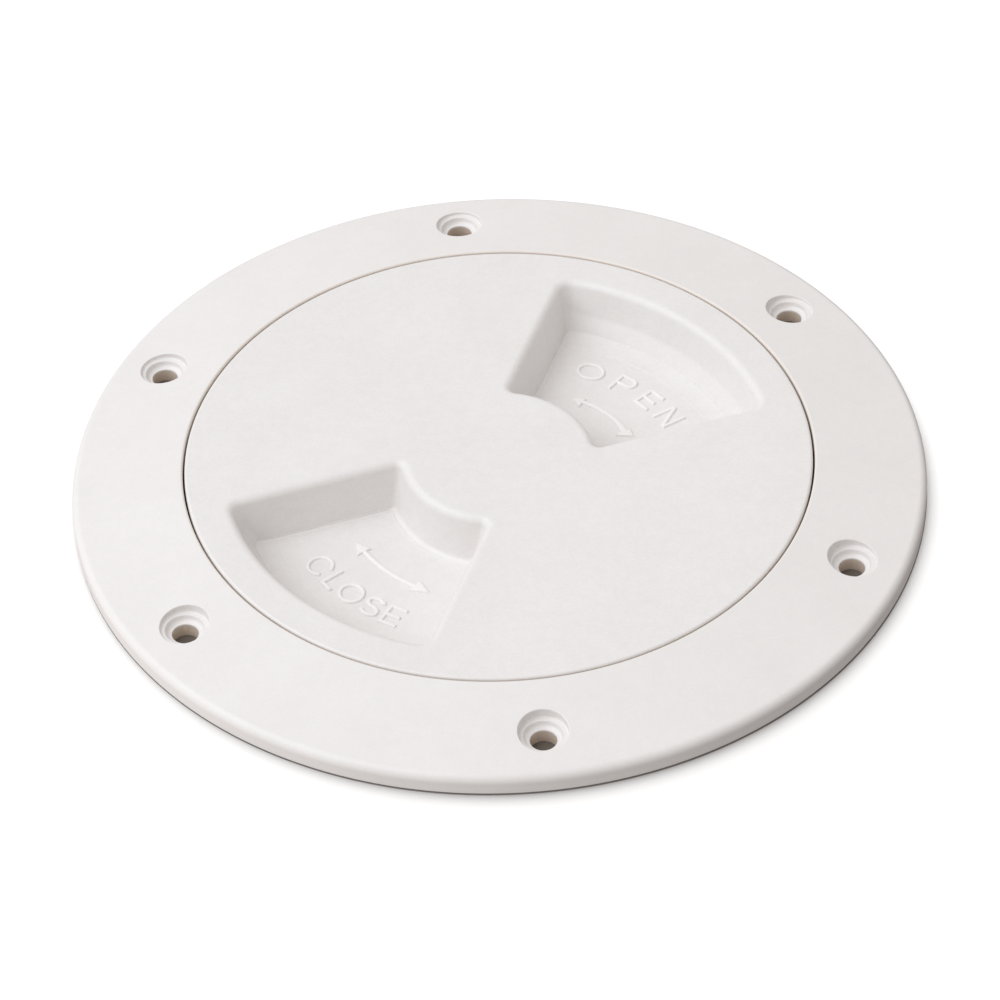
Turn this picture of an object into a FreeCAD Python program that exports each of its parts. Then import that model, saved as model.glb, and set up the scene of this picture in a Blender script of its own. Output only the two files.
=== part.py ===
import FreeCAD, Part
import Sketcher
import math
import os
from FreeCAD import Placement, Rotation, Vector

# Round screw-out deck inspection plate, millimetres.
# Frame: +Z up, out of the deck. The origin is the centre of the flange's underside, on the
# plane of the deck. The collar goes down through the deck, below z = 0.
#   deck_ring    flange with six stepped screw holes and the threaded collar, one moulding
#   seal_ring    rubber ring squeezed between the cover's edge and the seat of the ring
#   screw_cover  flush cover with two finger pockets and the threaded skirt, one moulding

doc = FreeCAD.newDocument("deck_inspection_plate")

# ---------------------------------------------------------------------------------------
# Driving dimensions. Lengths in millimetres, angles in degrees, slopes as plain ratios.
# ---------------------------------------------------------------------------------------
TABLE = [
    # flange
    ("flange_radius", 102.0), ("crown_height", 8.85), ("crown_slope", 0.146),
    ("rim_fillet", 2.1), ("foot_fillet", 0.6), ("mouth_fillet", 0.5),
    ("recess_radius", 75.3), ("cover_lip", 2.95), ("seal_height", 2.8),
    ("hollow_inner", 79.2), ("hollow_outer", 98.4), ("top_wall", 3.0),
    # collar below the deck
    ("collar_inner", 72.0), ("collar_outer", 75.2), ("collar_depth", 16.0), ("lead_in", 0.5),
    # screw holes
    ("hole_circle", 89.6), ("hole_phase", 34.9), ("hole_count", 6), ("hole_throat", 3.1),
    ("head_radius", 5.75), ("head_ledge", 5.1), ("step_radius", 4.6), ("step_foot", 4.15),
    ("step_ledge", 3.6), ("head_round", 0.35), ("step_round", 0.3), ("bowl_round", 0.9),
    ("boss_radius", 7.6), ("boss_height", 5.0),
    ("rib_thick", 1.5), ("rib_offset", 20.0), ("overcut", 2.0),
    # thread: two starts, one turn lifts the cover by the lead
    ("thread_lead", 9.0), ("thread_starts", 2), ("thread_turns", 0.8333), ("thread_root", 0.3),
    ("ridge_base", 1.15), ("ridge_crest", 0.65), ("ring_crest", 70.5), ("cover_crest", 71.5),
    ("ring_thread_start", 12.25), ("cover_thread_start", 10.0),
    # cover
    ("cover_radius", 74.85), ("cover_edge", 0.7), ("cover_wall", 3.2), ("neck_radius", 71.6),
    ("neck_foot", 2.6), ("skirt_radius", 70.0), ("skirt_top", 1.0), ("skirt_inner", 67.2),
    ("skirt_depth", 12.0),
    # finger pockets
    ("pocket_axis", 43.2), ("pocket_depth", 12.35), ("pocket_outer", 65.5), ("pocket_knee", 63.1),
    ("knee_height", 0.85), ("pocket_outer_foot", 60.6), ("pocket_band", 55.8), ("band_rise", 0.6),
    ("pocket_inner", 22.8), ("pocket_inner_foot", 25.2), ("pocket_inner_round", 1.35),
    ("side_offset", 5.5), ("side_angle", 26.3), ("side_draft", 11.3), ("pocket_wall", 2.1),
    ("outer_corner", 3.0), ("inner_corner", 1.8), ("pocket_rim", 2.2), ("blend_gap", 0.03),
    # raised lettering
    ("letter_rise", 0.4), ("letter_root", 0.5), ("letter_height", 6.6), ("letter_stroke", 1.1),
    ("letter_circle", 48.6), ("letter_round", 0.25),
    # seal
    ("seal_inner", 71.95), ("seal_outer", 75.1), ("seal_round", 1.25),
]

sheet = doc.addObject("Spreadsheet::Sheet", "params")
for row, (name, value) in enumerate(TABLE, start=1):
    sheet.set("A%d" % row, name)
    sheet.set("B%d" % row, repr(value))
    sheet.setAlias("B%d" % row, name)
doc.recompute()


class Size:
    """A size as the text of its sheet expression and as a number."""

    def __init__(self, text, value):
        self.text, self.value = text, float(value)

    @staticmethod
    def of(other):
        return other if isinstance(other, Size) else Size(repr(float(other)), other)

    def _join(self, other, sign, value):
        return Size("(%s %s %s)" % (self.text, sign, other.text), value)

    def __add__(self, other):
        other = Size.of(other)
        return self._join(other, "+", self.value + other.value)

    def __sub__(self, other):
        other = Size.of(other)
        return self._join(other, "-", self.value - other.value)

    def __mul__(self, other):
        other = Size.of(other)
        return self._join(other, "*", self.value * other.value)

    def __truediv__(self, other):
        other = Size.of(other)
        return self._join(other, "/", self.value / other.value)

    def __neg__(self):
        return Size("(0 - %s)" % self.text, -self.value)


P = {name: Size("params." + name, value) for name, value in TABLE}
ZERO = Size("0", 0.0)


def cosd(angle):
    return Size("cos(%s * 1 deg)" % angle.text, math.cos(math.radians(angle.value)))


def sind(angle):
    return Size("sin(%s * 1 deg)" % angle.text, math.sin(math.radians(angle.value)))


def tand(angle):
    return Size("tan(%s * 1 deg)" % angle.text, math.tan(math.radians(angle.value)))


# ---------------------------------------------------------------------------------------
# Sketch and feature helpers
# ---------------------------------------------------------------------------------------
def new_body(name):
    body = doc.addObject("PartDesign::Body", name)
    body.Label = name
    return body


def origin_item(body, role):
    return [f for f in body.Origin.OriginFeatures if f.Role == role][0]


def new_sketch(body, name, role, turn=None, lift=None):
    """A sketch on one of the body's origin planes, turned about Z or lifted along Z."""
    sketch = body.newObject("Sketcher::SketchObject", name)
    sketch.AttachmentSupport = (origin_item(body, role), [""])
    sketch.MapMode = "FlatFace"
    if turn is not None:
        sketch.AttachmentOffset = Placement(Vector(0, 0, 0), Rotation(Vector(0, 1, 0), turn.value))
        sketch.setExpression(".AttachmentOffset.Rotation.Angle", turn.text + " * 1 deg")
    if lift is not None:
        sketch.AttachmentOffset = Placement(Vector(0, 0, lift.value), Rotation())
        sketch.setExpression(".AttachmentOffset.Base.z", lift.text + " * 1 mm")
    return sketch


def pin_point(sketch, geo, pos, x, y):
    """Hold one point at (x, y) from the sketch's origin."""
    if abs(x.value) < 1e-9:
        sketch.addConstraint(Sketcher.Constraint("PointOnObject", geo, pos, -2))
    else:
        i = sketch.addConstraint(Sketcher.Constraint("DistanceX", -1, 1, geo, pos, x.value))
        sketch.setExpression("Constraints[%d]" % i, x.text + " * 1 mm")
    if abs(y.value) < 1e-9:
        sketch.addConstraint(Sketcher.Constraint("PointOnObject", geo, pos, -1))
    else:
        i = sketch.addConstraint(Sketcher.Constraint("DistanceY", -1, 1, geo, pos, y.value))
        sketch.setExpression("Constraints[%d]" % i, y.text + " * 1 mm")


def polygon(sketch, points):
    """A closed outline through points given as (Size, Size)."""
    points = [(Size.of(x), Size.of(y)) for x, y in points]
    n = len(points)
    first = sketch.GeometryCount
    for i in range(n):
        (xa, ya), (xb, yb) = points[i], points[(i + 1) % n]
        sketch.addGeometry(Part.LineSegment(Vector(xa.value, ya.value, 0),
                                            Vector(xb.value, yb.value, 0)), False)
    for i in range(n):
        sketch.addConstraint(Sketcher.Constraint("Coincident", first + i, 2,
                                                 first + (i + 1) % n, 1))
    for i, (x, y) in enumerate(points):
        pin_point(sketch, first + i, 1, x, y)
    return first


def circle(sketch, x, y, radius):
    geo = sketch.addGeometry(Part.Circle(Vector(x.value, y.value, 0), Vector(0, 0, 1),
                                         radius.value), False)
    i = sketch.addConstraint(Sketcher.Constraint("Radius", geo, radius.value))
    sketch.setExpression("Constraints[%d]" % i, radius.text + " * 1 mm")
    pin_point(sketch, geo, 3, x, y)
    return geo


def revolve(body, name, sketch, kind="PartDesign::Revolution", axis="V_Axis"):
    feature = body.newObject(kind, name)
    feature.Profile = sketch
    feature.ReferenceAxis = (sketch, [axis])
    feature.Angle = 360.0
    sketch.Visibility = False
    body.Tip = feature
    doc.recompute()
    return feature


def polar(body, name, original, count):
    pattern = body.newObject("PartDesign::PolarPattern", name)
    pattern.Originals = [original]
    pattern.Axis = (origin_item(body, "Z_Axis"), [""])
    pattern.Angle = 360.0
    pattern.Occurrences = int(count.value)
    pattern.setExpression("Occurrences", count.text)
    body.Tip = pattern
    doc.recompute()
    return pattern


def ring_edges(shape, radius, height, tol=0.02):
    """Names of the round edges about Z with this radius and height."""
    names = []
    for i, edge in enumerate(shape.Edges, start=1):
        curve = edge.Curve
        if isinstance(curve, Part.Circle) and abs(curve.Radius - radius.value) < tol \
                and abs(curve.Center.z - height.value) < tol \
                and math.hypot(curve.Center.x, curve.Center.y) < tol:
            names.append("Edge%d" % i)
    if not names:
        raise RuntimeError("no round edge at radius %.2f, height %.2f"
                           % (radius.value, height.value))
    return names


def dress(body, kind, name, edges, size):
    """A fillet or a chamfer on named edges of the body's present tip."""
    base = body.Tip
    feature = body.newObject(kind, name)
    feature.Base = (base, edges)
    prop = "Radius" if kind.endswith("Fillet") else "Size"
    setattr(feature, prop, size.value)
    feature.setExpression(prop, size.text + " * 1 mm")
    body.Tip = feature
    doc.recompute()
    return feature


def ridge(body, name, wall, crest, start, sign):
    """One start of the thread: a trapezoid ridge that rises along a right-handed helix.

    sign is +1 on the outside of a wall and -1 on its inside."""
    root = P["thread_root"] * (-sign)
    sketch = new_sketch(body, name + "_section", "XZ_Plane")
    polygon(sketch, [
        (wall + root, -start - P["ridge_base"]),
        (wall, -start - P["ridge_base"]),
        (crest, -start - P["ridge_crest"]),
        (crest, -start + P["ridge_crest"]),
        (wall, -start + P["ridge_base"]),
        (wall + root, -start + P["ridge_base"]),
    ])
    helix = body.newObject("PartDesign::AdditiveHelix", name)
    helix.Profile = sketch
    helix.ReferenceAxis = (sketch, ["V_Axis"])
    helix.Mode = "pitch-turns-angle"
    helix.Pitch = P["thread_lead"].value
    helix.Turns = P["thread_turns"].value
    helix.setExpression("Pitch", P["thread_lead"].text + " * 1 mm")
    helix.setExpression("Turns", P["thread_turns"].text)
    helix.Angle = 0.0
    helix.LeftHanded = False
    sketch.Visibility = False
    body.Tip = helix
    doc.recompute()
    return helix


# ---------------------------------------------------------------------------------------
# deck_ring
# ---------------------------------------------------------------------------------------
SEAT = P["crown_height"] - P["cover_lip"] - P["seal_height"]


def crown(radius):
    """Height of the flange's crowned top at a radius."""
    return P["crown_height"] - P["crown_slope"] * (radius - P["recess_radius"])


ring = new_body("deck_ring")
section = new_sketch(ring, "ring_section", "XZ_Plane")
polygon(section, [
    (P["collar_inner"], -P["collar_depth"]),
    (P["collar_outer"], -P["collar_depth"]),
    (P["collar_outer"], ZERO),
    (P["hollow_inner"], ZERO),
    (P["hollow_inner"], crown(P["hollow_inner"]) - P["top_wall"]),
    (P["hollow_outer"], crown(P["hollow_outer"]) - P["top_wall"]),
    (P["hollow_outer"], ZERO),
    (P["flange_radius"], ZERO),
    (P["flange_radius"], crown(P["flange_radius"])),
    (P["recess_radius"], P["crown_height"]),
    (P["recess_radius"], SEAT),
    (P["collar_inner"], SEAT),
])
revolve(ring, "ring_revolve", section)
dress(ring, "PartDesign::Fillet", "rim_round",
      ring_edges(ring.Tip.Shape, P["flange_radius"], crown(P["flange_radius"])), P["rim_fillet"])
dress(ring, "PartDesign::Fillet", "foot_round",
      ring_edges(ring.Tip.Shape, P["flange_radius"], ZERO), P["foot_fillet"])
dress(ring, "PartDesign::Fillet", "mouth_round",
      ring_edges(ring.Tip.Shape, P["recess_radius"], P["crown_height"]), P["mouth_fillet"])
dress(ring, "PartDesign::Chamfer", "collar_chamfers",
      ring_edges(ring.Tip.Shape, P["collar_inner"], SEAT)
      + ring_edges(ring.Tip.Shape, P["collar_inner"], -P["collar_depth"])
      + ring_edges(ring.Tip.Shape, P["collar_outer"], -P["collar_depth"]), P["lead_in"])

# Bosses round the screws, and radial ribs, in the hollow under the flange.
boss = new_sketch(ring, "boss_outline", "XY_Plane")
circle(boss, P["hole_circle"] * cosd(P["hole_phase"]), P["hole_circle"] * sind(P["hole_phase"]),
       P["boss_radius"])
pad = ring.newObject("PartDesign::Pad", "boss")
pad.Profile = boss
pad.Length = P["boss_height"].value
pad.setExpression("Length", P["boss_height"].text + " * 1 mm")
boss.Visibility = False
ring.Tip = pad
doc.recompute()
polar(ring, "bosses", pad, P["hole_count"])

for side, name in ((1, "rib_left"), (-1, "rib_right")):
    turn = P["hole_phase"] + P["rib_offset"] * side
    rib = new_sketch(ring, name + "_outline", "XZ_Plane", turn=turn)
    inset = P["thread_root"]
    polygon(rib, [
        (P["hollow_inner"] - inset, ZERO),
        (P["hollow_outer"] + inset, ZERO),
        (P["hollow_outer"] + inset, crown(P["hollow_outer"]) - P["top_wall"] + inset),
        (P["hollow_inner"] - inset, crown(P["hollow_inner"]) - P["top_wall"] + inset),
    ])
    pad = ring.newObject("PartDesign::Pad", name)
    pad.Profile = rib
    pad.Midplane = True
    pad.Length = P["rib_thick"].value
    pad.setExpression("Length", P["rib_thick"].text + " * 1 mm")
    rib.Visibility = False
    ring.Tip = pad
    doc.recompute()
    polar(ring, name + "s", pad, P["hole_count"])

# One stepped screw hole: a flat counterbore, a rounded lower step for the screw head, and the
# throat. The cut is a solid of revolution about the hole's own upright axis.
hole = new_sketch(ring, "hole_section", "XZ_Plane", turn=P["hole_phase"])
c = P["hole_circle"]
top = P["crown_height"] + P["overcut"]
polygon(hole, [
    (c, -P["overcut"]),
    (c + P["hole_throat"], -P["overcut"]),
    (c + P["hole_throat"], P["step_ledge"]),
    (c + P["step_foot"], P["step_ledge"]),
    (c + P["step_radius"], P["head_ledge"]),
    (c + P["head_radius"], P["head_ledge"]),
    (c + P["head_radius"], top),
    (c, top),
])
axis = hole.addGeometry(Part.LineSegment(Vector(c.value, -5, 0), Vector(c.value, 15, 0)), True)
pin_point(hole, axis, 1, c, -P["overcut"] * 2)
pin_point(hole, axis, 2, c, top + P["overcut"])
before = ring.Tip.Shape.Volume
drill = revolve(ring, "screw_hole", hole, "PartDesign::Groove", "Axis0")
if not drill.Shape.Volume < before - 100:
    raise RuntimeError("the screw hole cuts nothing")
polar(ring, "screw_holes", drill, P["hole_count"])


def hole_edges(shape, radius, height):
    """Names of the round edges about the six hole axes with this radius and height."""
    names = []
    for i, edge in enumerate(shape.Edges, start=1):
        curve = edge.Curve
        if isinstance(curve, Part.Circle) and abs(curve.Radius - radius.value) < 0.01 \
                and abs(curve.Center.z - height.value) < 0.01 \
                and abs(math.hypot(curve.Center.x, curve.Center.y) - P["hole_circle"].value) < 0.1:
            names.append("Edge%d" % i)
    if not names:
        raise RuntimeError("no hole edge at radius %.2f, height %.2f"
                           % (radius.value, height.value))
    return names


dress(ring, "PartDesign::Fillet", "step_bowls",
      hole_edges(ring.Tip.Shape, P["step_foot"], P["step_ledge"]), P["bowl_round"])
dress(ring, "PartDesign::Fillet", "step_rounds",
      hole_edges(ring.Tip.Shape, P["step_radius"], P["head_ledge"]), P["step_round"])
dress(ring, "PartDesign::Fillet", "head_rounds",
      hole_edges(ring.Tip.Shape, P["head_radius"], P["head_ledge"]), P["head_round"])

helix = ridge(ring, "ring_thread", P["collar_inner"], P["ring_crest"],
              P["ring_thread_start"], -1)
polar(ring, "ring_threads", helix, P["thread_starts"])

# ---------------------------------------------------------------------------------------
# seal_ring: the rubber ring in its squeezed section, flat on the seat and under the cover
# ---------------------------------------------------------------------------------------
seal = new_body("seal_ring")
section = new_sketch(seal, "seal_section", "XZ_Plane")
seal_top = SEAT + P["seal_height"]
polygon(section, [(P["seal_inner"], SEAT), (P["seal_outer"], SEAT),
                  (P["seal_outer"], seal_top), (P["seal_inner"], seal_top)])
revolve(seal, "seal_revolve", section)
dress(seal, "PartDesign::Fillet", "seal_rounds",
      ring_edges(seal.Tip.Shape, P["seal_inner"], SEAT)
      + ring_edges(seal.Tip.Shape, P["seal_outer"], SEAT)
      + ring_edges(seal.Tip.Shape, P["seal_inner"], seal_top)
      + ring_edges(seal.Tip.Shape, P["seal_outer"], seal_top), P["seal_round"])

# ---------------------------------------------------------------------------------------
# screw_cover: disc, neck and threaded skirt
# ---------------------------------------------------------------------------------------
blank = new_body("cover_blank")
section = new_sketch(blank, "cover_section", "XZ_Plane")
under = P["crown_height"] - P["cover_wall"]
lip_under = P["crown_height"] - P["cover_lip"]
polygon(section, [
    (ZERO, P["crown_height"]),
    (ZERO, under),
    (P["skirt_inner"], under),
    (P["skirt_inner"], -P["skirt_depth"]),
    (P["skirt_radius"], -P["skirt_depth"]),
    (P["skirt_radius"], P["skirt_top"]),
    (P["neck_radius"], P["neck_foot"]),
    (P["neck_radius"], lip_under),
    (P["cover_radius"], lip_under),
    (P["cover_radius"], P["crown_height"]),
])
revolve(blank, "cover_revolve", section)
dress(blank, "PartDesign::Fillet", "cover_edge_round",
      ring_edges(blank.Tip.Shape, P["cover_radius"], P["crown_height"]), P["cover_edge"])
dress(blank, "PartDesign::Chamfer", "skirt_chamfers",
      ring_edges(blank.Tip.Shape, P["skirt_radius"], -P["skirt_depth"])
      + ring_edges(blank.Tip.Shape, P["skirt_inner"], -P["skirt_depth"])
      + ring_edges(blank.Tip.Shape, P["cover_radius"], lip_under), P["lead_in"])
helix = ridge(blank, "cover_thread", P["skirt_radius"], P["cover_crest"],
              P["cover_thread_start"], 1)
polar(blank, "cover_threads", helix, P["thread_starts"])

# ---------------------------------------------------------------------------------------
# Finger pockets. Each is a sector between two coaxial cones and two drafted side planes.
# The same construction, a wall thicker, makes the tub under the cover.
# ---------------------------------------------------------------------------------------
FLOOR = P["crown_height"] - P["pocket_depth"]


def sector(name, grow, top):
    """The pocket's void (grow = 0) or its tub (grow = the wall), about the +X axis.

    The outer wall has a steep upper part and, below the knee, a flatter lower part."""
    slope_in = (P["pocket_inner_foot"] - P["pocket_inner"]) / P["pocket_depth"]
    slope_out = (P["pocket_outer"] - P["pocket_knee"]) / (P["crown_height"] - P["knee_height"])
    above = top - P["crown_height"]
    foot = FLOOR - grow

    round_body = new_body(name + "_round")
    sketch = new_sketch(round_body, name + "_round_section", "XZ_Plane")
    polygon(sketch, [
        (P["pocket_inner_foot"] - grow, foot),
        (P["pocket_band"], foot),
        (P["pocket_outer_foot"] + grow, foot + P["band_rise"]),
        (P["pocket_knee"] + grow, P["knee_height"]),
        (P["pocket_outer"] + grow + slope_out * above, top),
        (P["pocket_inner"] - grow - slope_in * above, top),
    ])
    revolve(round_body, name + "_round_revolve", sketch)

    wedge_body = new_body(name + "_sides")
    sketch = new_sketch(wedge_body, name + "_sides_outline", "XY_Plane", lift=top)
    offset = P["side_offset"] + grow + tand(P["side_draft"]) * above
    near, far = Size.of(8.0), P["cover_radius"] + 8.0
    y_near = offset / cosd(P["side_angle"]) + near * tand(P["side_angle"])
    y_far = offset / cosd(P["side_angle"]) + far * tand(P["side_angle"])
    polygon(sketch, [(near, -y_near), (far, -y_far), (far, y_far), (near, y_near)])
    pad = wedge_body.newObject("PartDesign::Pad", name + "_sides_pad")
    pad.Profile = sketch
    pad.Reversed = True
    length = top - foot + P["overcut"]
    pad.Length = length.value
    pad.setExpression("Length", length.text + " * 1 mm")
    pad.TaperAngle = -P["side_draft"].value
    pad.setExpression("TaperAngle", (-P["side_draft"]).text + " * 1 deg")
    wedge_body.Tip = pad
    sketch.Visibility = False
    doc.recompute()

    common = doc.addObject("Part::Common", name + "_raw")
    common.Base = round_body
    common.Tool = wedge_body
    doc.recompute()

    # The upright corners are the edges that climb from the floor to the top: one at each inner
    # corner, and two, which meet at the knee, at each outer corner.
    upright = []
    for i, edge in enumerate(common.Shape.Edges, start=1):
        a, b = edge.Vertexes[0].Point, edge.Vertexes[-1].Point
        if abs(a.z - b.z) > 3.0:
            far = math.hypot(a.x, a.y) > (P["pocket_inner"].value + P["pocket_outer"].value) / 2
            corner = (P["outer_corner"] if far else P["inner_corner"]) + grow
            upright.append((i, corner.value, corner.value))
    rounded = doc.addObject("Part::Fillet", name + "_corners")
    rounded.Base = common
    rounded.Edges = upright
    doc.recompute()
    if grow is not ZERO:
        return rounded

    # The foot of the inner wall runs softly into the floor: a ring of L section lies just
    # outside the void, and its filled corner is taken out of the void.
    gap = P["blend_gap"]
    blend = new_body(name + "_blend")
    sketch = new_sketch(blend, name + "_blend_section", "XZ_Plane")
    corner_r = P["pocket_inner_foot"] - gap
    polygon(sketch, [
        (corner_r, foot - gap),
        (corner_r + 5.0, foot - gap),
        (corner_r + 5.0, foot - 3.0),
        (corner_r - 4.0, foot - 3.0),
        (corner_r - 4.0, foot + 5.0),
        (corner_r - slope_in * (gap + 5.0), foot + 5.0),
    ])
    revolve(blend, name + "_blend_revolve", sketch)
    dress(blend, "PartDesign::Fillet", name + "_blend_round",
          ring_edges(blend.Tip.Shape, corner_r, foot - gap), P["pocket_inner_round"])
    soft = doc.addObject("Part::Cut", name)
    soft.Base = rounded
    soft.Tool = blend
    doc.recompute()
    return soft


core = sector("pocket_core", ZERO, P["crown_height"] + P["overcut"])
tub = sector("pocket_tub", P["pocket_wall"], under + P["thread_root"])


def both_sides(name, item):
    """The item and its mirror image across the centre, turned to the pockets' axis."""
    mirror = doc.addObject("Part::Mirroring", name + "_opposite")
    mirror.Source = item
    mirror.Base = Vector(0, 0, 0)
    mirror.Normal = Vector(1, 0, 0)
    pair = doc.addObject("Part::MultiFuse", name)
    pair.Shapes = [item, mirror]
    pair.Placement = Placement(Vector(0, 0, 0), Rotation(Vector(0, 0, 1), P["pocket_axis"].value))
    pair.setExpression(".Placement.Rotation.Angle", P["pocket_axis"].text + " * 1 deg")
    doc.recompute()
    return pair


cores = both_sides("pocket_cores", core)
tubs = both_sides("pocket_tubs", tub)

shell = doc.addObject("Part::MultiFuse", "cover_with_tubs")
shell.Shapes = [blank, tubs]
doc.recompute()
open_cover = doc.addObject("Part::Cut", "cover_with_pockets")
open_cover.Base = shell
open_cover.Tool = cores
doc.recompute()

# Round the rims of both pockets: the edges in the plane of the cover's top, apart from the
# cover's own outer edge.
rim = []
for i, edge in enumerate(open_cover.Shape.Edges, start=1):
    box = edge.BoundBox
    if abs(box.ZMin - P["crown_height"].value) < 0.01 and box.ZLength < 0.01:
        mid = edge.valueAt((edge.FirstParameter + edge.LastParameter) / 2)
        if math.hypot(mid.x, mid.y) < P["pocket_outer"].value + 1.0:
            rim.append(i)
rounded_cover = doc.addObject("Part::Fillet", "cover_moulding")
rounded_cover.Base = open_cover
rounded_cover.Edges = [(i, P["pocket_rim"].value, P["pocket_rim"].value) for i in rim]
doc.recompute()

# ---------------------------------------------------------------------------------------
# Raised lettering on the pocket floors, plain strokes: OPEN in one, CLOSE in the other, and a
# curved arrow with two heads beside each word. Drawn in a flat frame, then set on the floor.
# ---------------------------------------------------------------------------------------
H = sheet.get("letter_height")
S = sheet.get("letter_stroke")
Z0 = FLOOR.value - sheet.get("letter_root")
RISE = sheet.get("letter_root") + sheet.get("letter_rise")


def prism(face):
    face.translate(Vector(0, 0, Z0))
    return face.extrude(Vector(0, 0, RISE))


def outline(points):
    return Part.Face(Part.makePolygon([Vector(x, y, 0) for x, y in points]
                                      + [Vector(points[0][0], points[0][1], 0)]))


def bar(xa, ya, xb, yb, width=None):
    """A straight stroke along its centre line, with square ends."""
    width = S if width is None else width
    d = Vector(xb - xa, yb - ya, 0)
    d.normalize()
    n = Vector(-d.y, d.x, 0) * (width / 2)
    return outline([(xa + n.x, ya + n.y), (xa - n.x, ya - n.y),
                    (xb - n.x, yb - n.y), (xb + n.x, yb + n.y)])


def disc(a, b, cx=0.0, cy=0.0):
    """An ellipse with half width a and half height b."""
    if a >= b:
        curve = Part.Ellipse(Vector(0, 0, 0), a, b) if a > b else Part.Circle(
            Vector(0, 0, 0), Vector(0, 0, 1), a)
        shape = Part.Face(Part.Wire(curve.toShape()))
    else:
        shape = Part.Face(Part.Wire(Part.Ellipse(Vector(0, 0, 0), b, a).toShape()))
        shape.rotate(Vector(0, 0, 0), Vector(0, 0, 1), 90)
    shape.translate(Vector(cx, cy, 0))
    return shape


def hoop(a, b, cx=0.0, cy=0.0):
    return disc(a, b, cx, cy).cut(disc(a - S, b - S, cx, cy))


def soften(solid):
    """Round the upper edges of a raised mark."""
    crest = [e for e in solid.Edges
             if abs(e.BoundBox.ZMin - (Z0 + RISE)) < 1e-3 and e.BoundBox.ZLength < 1e-3]
    return solid.makeFillet(sheet.get("letter_round"), crest)


def join(*faces):
    solid = prism(faces[0].copy())
    for face in faces[1:]:
        solid = solid.fuse(prism(face.copy()))
    return soften(solid.removeSplitter().Solids[0])


def letter_o(a=3.45, b=3.3):
    return join(hoop(a, b))


def letter_c():
    gap = outline([(0.5, 0), (6.0, 3.55), (6.0, -3.55)])
    return join(hoop(3.4, 3.5).cut(gap))


def letter_l():
    w = 4.0
    return join(bar(-w / 2 + S / 2, -H / 2, -w / 2 + S / 2, H / 2),
                bar(-w / 2, -H / 2 + S / 2, w / 2, -H / 2 + S / 2))


def letter_e(w=4.9):
    return join(bar(-w / 2 + S / 2, -H / 2, -w / 2 + S / 2, H / 2),
                bar(-w / 2, -H / 2 + S / 2, w / 2, -H / 2 + S / 2),
                bar(-w / 2, 0, w / 2 - 0.4, 0),
                bar(-w / 2, H / 2 - S / 2, w / 2, H / 2 - S / 2))


def letter_p():
    w = 5.7
    b = H * 0.295
    cy = H / 2 - b
    bowl = hoop(b, b, w / 2 - b, cy).common(
        outline([(w / 2 - b, cy - b), (w / 2, cy - b), (w / 2, cy + b), (w / 2 - b, cy + b)]))
    return join(bar(-w / 2 + S / 2, -H / 2, -w / 2 + S / 2, H / 2),
                bar(-w / 2, H / 2 - S / 2, w / 2 - b, H / 2 - S / 2),
                bar(-w / 2, cy - b + S / 2, w / 2 - b, cy - b + S / 2), bowl)


def letter_n():
    w = 5.5
    return join(bar(-w / 2 + S / 2, -H / 2, -w / 2 + S / 2, H / 2),
                bar(w / 2 - S / 2, -H / 2, w / 2 - S / 2, H / 2),
                outline([(-w / 2, H / 2), (-w / 2 + S * 1.25, H / 2), (w / 2, -H / 2),
                         (w / 2 - S * 1.25, -H / 2)]))


def letter_s():
    # Two hoops, one over the other, each open on one side. They share the middle stroke.
    a = 2.6
    b = (H + S) / 4
    top_hoop = hoop(a, b, 0, H / 2 - b).cut(
        outline([(0.0, H / 2 - b - b - 0.1), (a + 1, H / 2 - b - b - 0.1),
                 (a + 1, H / 2 - b + 0.45), (0.0, H / 2 - b + 0.05)]))
    low_hoop = hoop(a, b, 0, -H / 2 + b).cut(
        outline([(0.0, -H / 2 + b + b + 0.1), (-a - 1, -H / 2 + b + b + 0.1),
                 (-a - 1, -H / 2 + b - 0.25), (0.0, -H / 2 + b - 0.05)]))
    return join(top_hoop, low_hoop)


def on_circle(solid, angle, radius, outward):
    """Turn a letter so that its top points out from the centre, or in, and set it there."""
    solid.rotate(Vector(0, 0, 0), Vector(0, 0, 1), angle - 90 if outward else angle + 90)
    a = math.radians(angle)
    solid.translate(Vector(radius * math.cos(a), radius * math.sin(a), 0))
    return solid


def arrow(first, second, inner, outer):
    """A curved band with a head at each end, from points given as (radius, angle).

    A head is (tip, inner barb, outer barb). The band's two edges run with rising angle."""
    def at(point):
        r, t = point
        return Vector(r * math.cos(math.radians(t)), r * math.sin(math.radians(t)), 0)

    def smooth(points):
        curve = Part.BSplineCurve()
        curve.interpolate([at(p) for p in points])
        return curve.toShape()

    def line(p, q):
        return Part.LineSegment(at(p), at(q)).toShape()

    edges = [line(first[0], first[2]), line(first[2], outer[0]), smooth(outer),
             line(outer[-1], second[2]), line(second[2], second[0]),
             line(second[0], second[1]), line(second[1], inner[-1]), smooth(inner[::-1]),
             line(inner[0], first[1]), line(first[1], first[0])]
    return join(Part.Face(Part.Wire(edges)))


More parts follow.
